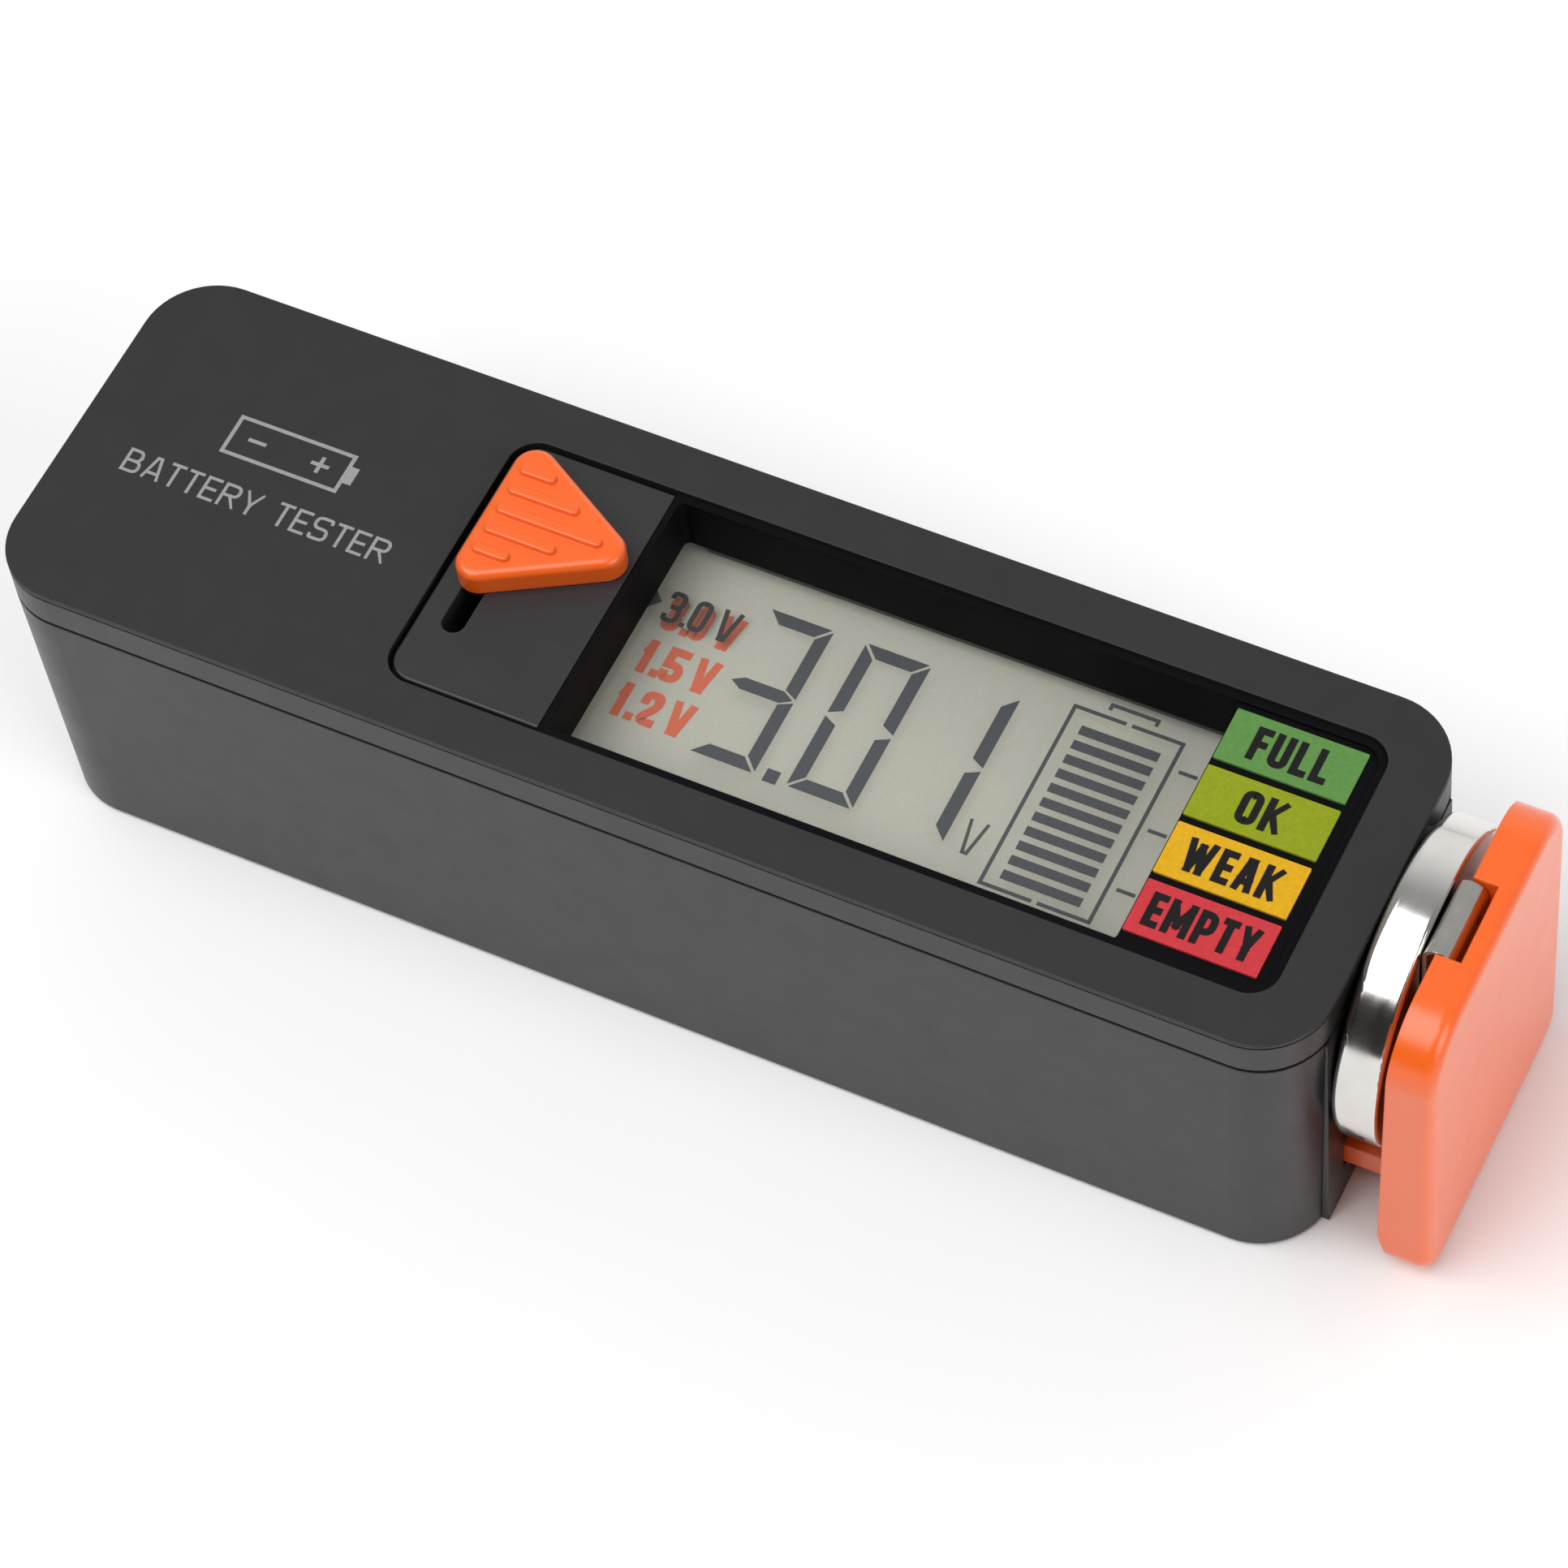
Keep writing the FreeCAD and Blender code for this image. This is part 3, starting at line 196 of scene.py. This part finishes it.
def reflector_film(name):
    """Pale grey-green film behind the display, with a fine metallic sparkle."""
    paint = Paint(name, (0.49, 0.48, 0.405), 0.55)
    paint.mottle(paint.noise(0.00007, detail=2.0), 0.07)
    paint.vary_gloss(paint.noise(0.0003), 0.45, 0.65)
    paint.relief(paint.noise(0.00008), 0.000003)
    return paint.material


def striped_rubber(name):
    """Connector strip: thin conducting stripes between clear ones."""
    paint = Paint(name, (0.09, 0.09, 0.10), 0.7)
    stripes = paint.ramp(paint.stripes(0.0002, "X"), (0.012, 0.012, 0.013), (0.06, 0.058, 0.055), 0.45, 0.55)
    paint.links.new(stripes, paint.shader.inputs["Base Color"])
    paint.relief(paint.noise(0.0002), 0.000006)
    return paint.material


def circuit_board(name):
    """Green solder mask over a fine glass weave."""
    paint = Paint(name, (0.012, 0.11, 0.045), 0.32, coat=0.3)
    paint.mottle(paint.noise(0.0016), 0.22)
    paint.relief(paint.stripes(0.0005, "X"), 0.000003)
    paint.relief(paint.stripes(0.0005, "Y"), 0.000003)
    return paint.material


ALONG_X, ALONG_Z = (14.0, 1.0, 1.0), (1.0, 1.0, 14.0)
MATERIALS = {
    "black_plastic": moulded("black_plastic", (0.0145, 0.0145, 0.0152), 0.40),
    "panel_plastic": moulded("panel_plastic", (0.0212, 0.0212, 0.0230), 0.36, depth=0.000003),
    "gloss_black": moulded("gloss_black", (0.004, 0.004, 0.005), 0.55, depth=0.000002, edge=0.00005,
                           specular=0.05),
    "orange_plastic": moulded("orange_plastic", (0.92, 0.130, 0.008), 0.34, depth=0.000003, edge=0.0002,
                              cloud=0.015, specular=0.4, coat=0.68, coat_roughness=0.25),
    "label_green": printed("label_green", (0.100, 0.250, 0.056), 0.42),
    "label_lime": printed("label_lime", (0.255, 0.310, 0.003), 0.42),
    "label_amber": printed("label_amber", (0.690, 0.375, 0.003), 0.42),
    "label_red": printed("label_red", (0.560, 0.032, 0.042), 0.42),
    "display_glass": clear_sheet("display_glass"),
    "display_reflector": reflector_film("display_reflector"),
    "connector_rubber": striped_rubber("connector_rubber"),
    "holder_plastic": moulded("holder_plastic", (0.62, 0.62, 0.60), 0.5),
    "board_laminate": circuit_board("board_laminate"),
    "chip_epoxy": moulded("chip_epoxy", (0.016, 0.016, 0.017), 0.55, depth=0.000008),
    "component_ceramic": moulded("component_ceramic", (0.23, 0.17, 0.11), 0.45),
    "switch_metal": drawn_metal("switch_metal", (0.55, 0.55, 0.55), 0.34, ALONG_X),
    "switch_plastic": moulded("switch_plastic", (0.02, 0.02, 0.02), 0.5),
    "nickel_steel": drawn_metal("nickel_steel", (0.70, 0.68, 0.64), 0.17, ALONG_Z),
    "spring_steel": drawn_metal("spring_steel", (0.60, 0.58, 0.55), 0.22, ALONG_X),
    "cell_steel": drawn_metal("cell_steel", (0.74, 0.72, 0.69), 0.13, (1.0, 6.0, 6.0)),
    "cell_gasket": moulded("cell_gasket", (0.03, 0.03, 0.03), 0.5),
    "screw_steel": drawn_metal("screw_steel", (0.36, 0.36, 0.37), 0.34, ALONG_X),
}


def paint_nodes():
    """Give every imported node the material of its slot."""
    for subpart in frame["record"]["subparts"]:
        node = frame["nodes"][subpart["node"]]
        node.data.materials.clear()
        node.data.materials.append(MATERIALS[subpart["material_slot"]])


# ---------------------------------------------------------------- piece helpers
def new_piece(name, mesh, material, body):
    mesh.materials.clear()
    mesh.materials.append(material)
    piece = bpy.data.objects.new(name, mesh)
    bpy.context.scene.collection.objects.link(piece)
    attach(piece, body)
    return piece


def add_prisms(made, outlines, low, high):
    """Add thin solids from outlines given anticlockwise in metres, between two heights."""
    for outline in outlines:
        under = [made.verts.new((x, y, low)) for x, y in outline]
        over = [made.verts.new((x, y, high)) for x, y in outline]
        made.faces.new(over)
        made.faces.new(list(reversed(under)))
        for k in range(len(outline)):
            after = (k + 1) % len(outline)
            made.faces.new((under[k], under[after], over[after], over[k]))


def made_piece(name, made, material, body="housing"):
    mesh = bpy.data.meshes.new(name)
    made.to_mesh(mesh)
    made.free()
    return new_piece(name, mesh, material, body)


def flat_shapes(name, outlines, low, high, material):
    made = bmesh.new()
    add_prisms(made, outlines, low, high)
    return made_piece(name, made, material)


# Letters are drawn as strokes on a grid of eight by eight, each point as two digits, across then up. A stroke
# that starts with r has round corners, and one that starts with o is round and closed.
LETTERS = {
    "A": (6, "00 38 58 80", "12 72"), "B": (6, "00 08", "r08 78 74 04", "r04 84 80 00"),
    "E": (5, "80 00 08 88", "04 74"), "F": (5, "00 08 88", "04 74"), "K": (6, "00 08", "03 88", "34 80"),
    "L": (5, "08 00 80"), "M": (8, "00 08", "80 88", "08 42 88"), "O": (6, "o00 08 88 80"),
    "P": (6, "00 08", "r08 88 83 03"), "R": (6, "00 08", "r08 88 84 04", "44 80"),
    "S": (6, "r01 00 80 84 04 08 88 87"), "T": (5, "08 88", "48 40"), "U": (6, "r08 00 80 88"),
    "V": (6, "08 30 50 88"), "W": (9, "08 20 47 60 88"), "Y": (6, "08 43 88", "43 40"),
    "0": (6, "o00 08 88 80"), "1": (3, "16 78 70"), "2": (6, "r06 08 88 85 00 80"),
    "3": (6, "r07 08 88 84 34", "r34 84 80 00 01"), "5": (6, "88 08 04", "r04 84 80 00 01"),
    ".": (1, "00 01"), " ": (3,),
}
GRID, LETTER_GAP, ROUND_STEPS, ROUND_SHARE, MITRE_LIMIT = 8, 1.2, 5, 0.42, 1.6
LAYER_STEP = 0.002 * MM


def rounded(points, radius, closed):
    """The same path with every corner turned into an arc."""
    path = []
    for k, corner in enumerate(points):
        if not closed and k in (0, len(points) - 1):
            path.append(corner)
            continue
        before, after = points[k - 1] - corner, points[(k + 1) % len(points)] - corner
        reach = min(radius, before.length / 2, after.length / 2)
        start, end = corner + before.normalized() * reach, corner + after.normalized() * reach
        for step in range(ROUND_STEPS + 1):
            share = step / ROUND_STEPS
            path.append(start.lerp(corner, share).lerp(corner.lerp(end, share), share))
    return path


def ribbon(points, width, closed=False):
    """Four-cornered outlines, mitred to one another, that make a path into a line of some width."""
    count, sides = len(points), []
    for k, point in enumerate(points):
        before = point - points[k - 1] if closed or k else points[1] - point
        after = points[(k + 1) % count] - point if closed or k < count - 1 else point - points[k - 1]
        first, last = Vector((-before.y, before.x)).normalized(), Vector((-after.y, after.x)).normalized()
        middle = (first + last).normalized()
        reach = width / 2 * min(MITRE_LIMIT, 1 / max(0.1, middle.dot(first)))
        sides.append((point + middle * reach, point - middle * reach))
    pairs = zip(sides, sides[1:] + (sides[:1] if closed else []))
    return [[tuple(right0), tuple(right1), tuple(left1), tuple(left0)]
            for (left0, right0), (left1, right1) in pairs]


def within(point, box):
    """The point moved into a letter's box, given as left, low, right and high."""
    return (min(max(point.x, box[0]), box[2]), min(max(point.y, box[1]), box[3]))


def bar(start, end, weight):
    """A straight stroke that runs half its weight past both ends."""
    ahead = (end - start).normalized() * weight / 2
    side = Vector((-ahead.y, ahead.x))
    return [start - ahead - side, end + ahead - side, end + ahead + side, start - ahead + side]


def stroke_shapes(points, weight, round_corners, closed, radius):
    """The outlines of one stroke, in groups that overlap one another."""
    if not round_corners:
        return [[bar(start, end, weight)] for start, end in zip(points, points[1:])]
    if not closed:
        points[0] = points[0] + (points[0] - points[1]).normalized() * weight / 2
        points[-1] = points[-1] + (points[-1] - points[-2]).normalized() * weight / 2
    quads = ribbon(rounded(points, radius, closed), weight, closed)
    return [[[Vector(corner) for corner in quad] for quad in quads]]


def word_layers(words, centre, size, weight):
    """Strokes of a line of words fitted to a size (width, height), in layers with no overlaps inside one."""
    widths = [LETTERS[letter][0] for letter in words]
    unit = size[0] / (sum(widths) + LETTER_GAP * (len(words) - 1))
    left, low = centre[0] - size[0] / 2, centre[1] - size[1] / 2
    layers = []
    for letter, width in zip(words, widths):
        box = (left, low, left + max(width * unit, weight), low + size[1])
        across, up = (box[2] - box[0] - weight) / GRID, (size[1] - weight) / GRID
        groups = []
        for stroke in LETTERS[letter][1:]:
            points = [Vector((left + weight / 2 + int(x) * across, low + weight / 2 + int(y) * up))
                      for x, y in stroke.lstrip("ro").split()]
            # a point is a square as wide as the strokes
            if letter == ".":
                points = [Vector((left + weight / 2, low)), Vector((left + weight / 2, low + weight / 2))]
            groups += stroke_shapes(points, weight, stroke[0] in "ro", stroke[0] == "o",
                                    width * unit * ROUND_SHARE)
        for rank, group in enumerate(groups):
            if rank == len(layers):
                layers.append([])
            shapes = [[within(corner, box) for corner in outline] for outline in group]
            layers[rank] += [shape if anticlockwise(shape) else shape[::-1] for shape in shapes]
        left += (width + LETTER_GAP) * unit
    return layers


def lettering(name, words, centre, size, level, material, weight, thickness=0.00003):
    """Words as raised strokes. Each layer is a little higher, so that no two tops share a plane."""
    made = bmesh.new()
    for rank, outlines in enumerate(word_layers(words, centre, size, weight)):
        add_prisms(made, outlines, level, level + thickness + rank * LAYER_STEP)
    return made_piece(name, made, material)


def anticlockwise(outline):
    pairs = zip(outline, outline[1:] + outline[:1])
    return sum(x0 * y1 - x1 * y0 for (x0, y0), (x1, y1) in pairs) > 0


# ---------------------------------------------------------------- display
# Display graphics are laid out in millimetres from the front glass's left edge and from the middle line.
DIGIT_WIDTH, DIGIT_HEIGHT, DIGIT_BOTTOM = 4.35, 11.1, -4.3
SEGMENT, SEGMENT_GAP = 0.86, 0.14
INK_DEPTH = 0.02 * MM
SEVEN_SEGMENTS = {"3": "abgcd", "0": "abcdef", "1": "bc"}
ICON_LEFT, ICON_RIGHT, ICON_LOW, ICON_HIGH, ICON_LINE = 27.35, 34.63, -6.0, 7.72, 0.24
ICON_GAP, TERMINAL_HALF, TERMINAL_RISE, TERMINAL_FOOT = 0.18, 1.62, 0.92, 0.5
BAR_COUNT, BAR_PITCH, BAR_HEIGHT, BAR_INSET, BAR_TOP = 11, 1.10, 0.64, 1.07, 6.48
TICK_START, TICK_END, TICK_HEIGHTS = 35.05, 36.25, (5.72, 1.28, -3.18)
DIGITS = (("3", 7.5), ("0", 14.0), ("1", 19.92))
DECIMAL_POINT = (12.5, 13.38, -4.54, -3.62)
POINTER = [(0.0, 3.46), (1.19, 4.66), (0.0, 5.86)]
UNIT_ACROSS, UNIT_UP, UNIT_SIZE, UNIT_WEIGHT = 25.76, -3.28, (1.3 * MM, 2.45 * MM), 0.22 * MM
# voltages printed on the film: the rows, then where each number and its unit stand
VOLTAGES = ("3.0", "1.5", "1.2")
LEGEND_TOP, LEGEND_PITCH, LEGEND_WEIGHT = 4.52, 3.38, 0.55 * MM
NUMBER_ACROSS, NUMBER_SIZE = 2.98, (2.95 * MM, 2.5 * MM)
VOLT_ACROSS, VOLT_SIZE = 5.75, (1.5 * MM, 2.5 * MM)
# the voltage in use, as segments over the print: name, words, place and width
ACTIVE_WORDS = (("active_3_0", "3.0", 2.98, 2.85), ("active_unit", "V", 5.70, 1.30))
ACTIVE_UP, ACTIVE_HEIGHT, ACTIVE_WEIGHT = 4.58, 2.3, 0.32 * MM


def on_glass(outline):
    """Turn an outline laid out on the display into metres in the tester's frame."""
    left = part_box("lcd_front_glass")[0].x
    return [(left + x * MM, y * MM) for x, y in outline]


def strip(low_x, high_x, low_y, high_y):
    return [(low_x, low_y), (high_x, low_y), (high_x, high_y), (low_x, high_y)]


def digit_outlines(digit, left):
    """Mitred seven-segment outlines of one digit."""
    low, high = DIGIT_BOTTOM, DIGIT_BOTTOM + DIGIT_HEIGHT
    right, middle = left + DIGIT_WIDTH, (low + high) / 2
    gap, half = SEGMENT_GAP, SEGMENT / 2
    inner_left, inner_right = left + SEGMENT, right - SEGMENT
    shapes = {
        "a": [(left + gap, high), (inner_left + gap, high - SEGMENT), (inner_right - gap, high - SEGMENT),
              (right - gap, high)],
        "b": [(right, high - gap), (inner_right, high - SEGMENT - gap), (inner_right, middle + half + gap),
              (right, middle + gap)],
        "c": [(right, middle - gap), (inner_right, middle - half - gap), (inner_right, low + SEGMENT + gap),
              (right, low + gap)],
        "d": [(left + gap, low), (right - gap, low), (inner_right - gap, low + SEGMENT),
              (inner_left + gap, low + SEGMENT)],
        "e": [(left, middle - gap), (left, low + gap), (inner_left, low + SEGMENT + gap),
              (inner_left, middle - half - gap)],
        "f": [(left, high - gap), (left, middle + gap), (inner_left, middle + half + gap),
              (inner_left, high - SEGMENT - gap)],
        "g": [(left + gap, middle), (inner_left, middle - half), (inner_right, middle - half),
              (right - gap, middle), (inner_right, middle + half), (inner_left, middle + half)],
    }
    outlines = [shapes[name] for name in SEVEN_SEGMENTS[digit]]
    return [outline if anticlockwise(outline) else outline[::-1] for outline in outlines]


def battery_icon():
    """Outline with a gap at each end, a terminal, eleven bars and three ticks towards the labels."""
    line, middle, gap = ICON_LINE, (ICON_LEFT + ICON_RIGHT) / 2, ICON_GAP
    outlines = [strip(ICON_LEFT, ICON_LEFT + line, ICON_LOW, ICON_HIGH),
                strip(ICON_RIGHT - line, ICON_RIGHT, ICON_LOW, ICON_HIGH)]
    for low in (ICON_LOW, ICON_HIGH - line):
        outlines.append(strip(ICON_LEFT + line, middle - gap, low, low + line))
        outlines.append(strip(middle + gap, ICON_RIGHT - line, low, low + line))
    terminal, top = TERMINAL_HALF, ICON_HIGH + TERMINAL_RISE
    outlines.append(strip(middle - terminal, middle + terminal, top - line, top))
    for side in (-1, 1):
        edge = middle + side * (terminal - line / 2)
        outlines.append(strip(edge - line / 2, edge + line / 2, top - TERMINAL_FOOT, top - line))
    for row in range(BAR_COUNT):
        high = BAR_TOP - BAR_PITCH * row
        outlines.append(strip(ICON_LEFT + BAR_INSET, ICON_RIGHT - BAR_INSET, high - BAR_HEIGHT, high))
    for height in TICK_HEIGHTS:
        outlines.append(strip(TICK_START, TICK_END, height - line / 2, height + line / 2))
    return outlines


def display_graphics():
    """Dark segments between the two glasses, and the printed voltages on the film below."""
    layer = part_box("lcd_front_glass")[0].z
    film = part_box("lcd_reflector")[1].z
    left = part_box("lcd_front_glass")[0].x
    ink = printed("segment_ink", (0.052, 0.056, 0.065), 0.5)
    orange = printed("legend_orange", (0.64, 0.095, 0.030), 0.5)
    outlines = []
    for digit, start in DIGITS:
        outlines += digit_outlines(digit, start)
    outlines.append(strip(*DECIMAL_POINT))
    outlines += battery_icon()
    outlines.append(POINTER)
    shapes = [on_glass(outline) for outline in outlines]
    segments = flat_shapes("display_segments", shapes, layer - INK_DEPTH, layer + INK_DEPTH, ink)
    segments.visible_shadow = False
    unit = lettering("display_unit", "V", (left + UNIT_ACROSS * MM, UNIT_UP * MM), UNIT_SIZE,
                     layer - INK_DEPTH, ink, UNIT_WEIGHT, 2 * INK_DEPTH)
    unit.visible_shadow = False
    for row, volts in enumerate(VOLTAGES):
        height, tag = LEGEND_TOP * MM - LEGEND_PITCH * MM * row, volts.replace(".", "_")
        number, volt = (left + NUMBER_ACROSS * MM, height), (left + VOLT_ACROSS * MM, height)
        lettering("legend_" + tag, volts, number, NUMBER_SIZE, film, orange, LEGEND_WEIGHT)
        lettering("legend_unit_" + tag, "V", volt, VOLT_SIZE, film, orange, LEGEND_WEIGHT)
    active = printed("active_ink", (0.030, 0.028, 0.030), 0.5)
    for name, words, across, width in ACTIVE_WORDS:
        centre, size = (left + across * MM, ACTIVE_UP * MM), (width * MM, ACTIVE_HEIGHT * MM)
        lettering(name, words, centre, size, layer - INK_DEPTH, active, ACTIVE_WEIGHT, 2 * INK_DEPTH)


# ---------------------------------------------------------------- print on the labels and the cover
LABEL_WIDTHS = {"full": 4.95, "ok": 2.85, "weak": 6.0, "empty": 6.85}
LABEL_HEIGHT, LABEL_WEIGHT = 2.36, 0.46 * MM
# cover print, from the cover's left end and middle line: the cell pictogram, its poles, then the words
COVER_MIDDLE, COVER_INK = 13.3 * MM, 0.012 * MM
CELL_HALF, CELL_DEPTH, CELL_LINE, CELL_RISE = 4.1 * MM, 1.5 * MM, 0.26 * MM, 2.6 * MM
NUB, NUB_HALF, SIGN, POLE = 0.55 * MM, 0.65 * MM, 0.62 * MM, 2.2 * MM
WORDS_UP, WORDS_SIZE, WORDS_WEIGHT = -1.6 * MM, (18.4 * MM, 1.75 * MM), 0.21 * MM


def label_print():
    ink = printed("label_ink", (0.007, 0.006, 0.006), 0.6, specular=0.2)
    for word, width in LABEL_WIDTHS.items():
        low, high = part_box("label_" + word)
        centre = ((low.x + high.x) / 2, (low.y + high.y) / 2)
        size = (width * MM, LABEL_HEIGHT * MM)
        lettering("print_" + word, word.upper(), centre, size, high.z, ink, LABEL_WEIGHT)


def cover_print():
    """Generic print: a cell pictogram with its poles, over one plain line of words."""
    ink = printed("cover_ink", (0.30, 0.30, 0.30), 0.55)
    low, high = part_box("upper_cover")
    level, middle = high.z, low.x + COVER_MIDDLE
    half, depth, line, rise = CELL_HALF, CELL_DEPTH, CELL_LINE, CELL_RISE
    outlines = [strip(middle - half, middle + half, rise - depth, rise - depth + line),
                strip(middle - half, middle + half, rise + depth - line, rise + depth),
                strip(middle - half, middle - half + line, rise - depth + line, rise + depth - line),
                strip(middle + half - line, middle + half, rise - depth + line, rise + depth - line),
                strip(middle + half, middle + half + NUB, rise - NUB_HALF, rise + NUB_HALF)]
    sign, pole = SIGN, POLE
    outlines += [strip(middle - pole - sign, middle - pole + sign, rise - line / 2, rise + line / 2),
                 strip(middle + pole - sign, middle + pole + sign, rise - line / 2, rise + line / 2),
                 strip(middle + pole - line / 2, middle + pole + line / 2, rise + line / 2, rise + sign),
                 strip(middle + pole - line / 2, middle + pole + line / 2, rise - sign, rise - line / 2)]
    flat_shapes("cover_pictogram", outlines, level, level + COVER_INK, ink)
    lettering("cover_words", "BATTERY TESTER", (middle, WORDS_UP), WORDS_SIZE, level, ink, WORDS_WEIGHT,
              COVER_INK)


# ---------------------------------------------------------------- return spring
WIRE = 0.18 * MM
COIL_TURNS, COIL_STEPS, COIL_SIDES = 16, 24, 8


def return_coil():
    """Wire coil between the housing's post and the slide bar's peg."""
    low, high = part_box("return_spring")
    centre = (low + high) / 2
    reach, count = (high.z - low.z) / 2 - WIRE, COIL_TURNS * COIL_STEPS
    made = bmesh.new()
    rings = []
    for step in range(count + 1):
        angle = 2 * math.pi * step / COIL_STEPS
        along = low.x + WIRE + (high.x - low.x - 2 * WIRE) * step / count
        outward = Vector((0.0, math.cos(angle), math.sin(angle)))
        middle = Vector((along, centre.y, centre.z)) + outward * reach
        ring = []
        for side in range(COIL_SIDES):
            turn = 2 * math.pi * side / COIL_SIDES
            lengthways = Vector((WIRE * math.sin(turn), 0, 0))
            ring.append(made.verts.new(middle + outward * WIRE * math.cos(turn) + lengthways))
        rings.append(ring)
    for first, second in zip(rings, rings[1:]):
        for side in range(COIL_SIDES):
            after = (side + 1) % COIL_SIDES
            made.faces.new((first[side], first[after], second[after], second[side]))
    made.faces.new(rings[0])
    made.faces.new(list(reversed(rings[-1])))
    bmesh.ops.recalc_face_normals(made, faces=made.faces)
    for face in made.faces:
        face.smooth = len(face.verts) == 4
    mesh = bpy.data.meshes.new("return_coil")
    made.to_mesh(mesh)
    made.free()
    mesh.materials.append(MATERIALS["spring_steel"])
    coil = bpy.data.objects.new("return_coil", mesh)
    bpy.context.scene.collection.objects.link(coil)
    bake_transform(coil)
    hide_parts("return_spring")


# ---------------------------------------------------------------- studio
AZIMUTH, ELEVATION, ROLL = 33.34, 56.66, -8.53
AIM = Vector((0.91, -1.21, 13.1)) * MM
DISTANCE, LENS, SENSOR, CLIP_START, CLIP_END = 0.3565, 135.2, 36.0, 0.01, 20.0
FLOOR_HALF, FLOOR_DROP = 2.5, 0.02 * MM
# soft boxes (name, place, size and watts), and the backdrop's tones from the camera's side to the far side
LIGHTS = (("key", (-0.36, -0.36, 1.10), 1.1, 13.4), ("fill", (1.0, -0.3, 0.6), 0.8, 6.0))
BACKDROP_STOPS = ((0.2, 0.03), (0.73, 0.36), (0.95, 0.95))


def studio_camera():
    azimuth, elevation = math.radians(AZIMUTH), math.radians(ELEVATION)
    back = Vector((math.sin(azimuth) * math.cos(elevation), -math.cos(azimuth) * math.cos(elevation),
                   math.sin(elevation)))
    data = bpy.data.cameras.new("camera")
    data.sensor_width, data.lens = SENSOR, LENS
    data.clip_start, data.clip_end = CLIP_START, CLIP_END
    camera = bpy.data.objects.new("camera", data)
    bpy.context.scene.collection.objects.link(camera)
    camera.location = AIM + back * DISTANCE
    camera.rotation_mode = "QUATERNION"
    turn = Quaternion((0.0, 0.0, 1.0), math.radians(ROLL))
    camera.rotation_quaternion = (-back).to_track_quat("-Z", "Y") @ turn
    bpy.context.scene.camera = camera


def soft_light(name, place, size, watts):
    """A square soft box aimed at the middle of the object."""
    data = bpy.data.lights.new(name, "AREA")
    data.shape, data.size, data.energy = "SQUARE", size, watts
    light = bpy.data.objects.new(name, data)
    bpy.context.scene.collection.objects.link(light)
    light.location = place
    light.rotation_mode = "QUATERNION"
    light.rotation_quaternion = (AIM - light.location).to_track_quat("-Z", "Y")


def floor():
    paint = Paint("floor_paint", (0.97, 0.97, 0.97), 0.7)
    paint.mottle(paint.noise(0.02), 0.005)
    half, level = FLOOR_HALF, CAD_BOX[0][2] - FLOOR_DROP
    mesh = bpy.data.meshes.new("floor")
    mesh.from_pydata([(-half, -half, level), (half, -half, level), (half, half, level), (-half, half, level)],
                     [], [(0, 1, 2, 3)])
    mesh.materials.append(paint.material)
    piece = bpy.data.objects.new("floor", mesh)
    bpy.context.scene.collection.objects.link(piece)


def backdrop():
    """A soft room: dim on the camera's side, and pale low down behind the object."""
    world = bpy.data.worlds.new("studio")
    world.use_nodes = True
    nodes, links = world.node_tree.nodes, world.node_tree.links
    direction = nodes.new("ShaderNodeSeparateXYZ")
    links.new(nodes.new("ShaderNodeTexCoord").outputs["Generated"], direction.inputs["Vector"])
    spread = nodes.new("ShaderNodeMapRange")
    spread.inputs["From Min"].default_value, spread.inputs["From Max"].default_value = -1.0, 1.0
    ramp = nodes.new("ShaderNodeValToRGB")
    ramp.color_ramp.elements.new(BACKDROP_STOPS[1][0])
    for element, (place, tone) in zip(ramp.color_ramp.elements, BACKDROP_STOPS):
        element.position, element.color = place, (tone, tone, tone, 1.0)
    links.new(direction.outputs["Y"], spread.inputs["Value"])
    links.new(spread.outputs["Result"], ramp.inputs["Fac"])
    links.new(ramp.outputs["Color"], nodes["Background"].inputs["Color"])
    bpy.context.scene.world = world


def studio():
    bpy.context.scene.view_settings.view_transform = "Standard"
    backdrop()
    floor()
    for light in LIGHTS:
        soft_light(*light)
    studio_camera()


paint_nodes()
display_graphics()
label_print()
cover_print()
return_coil()
studio()
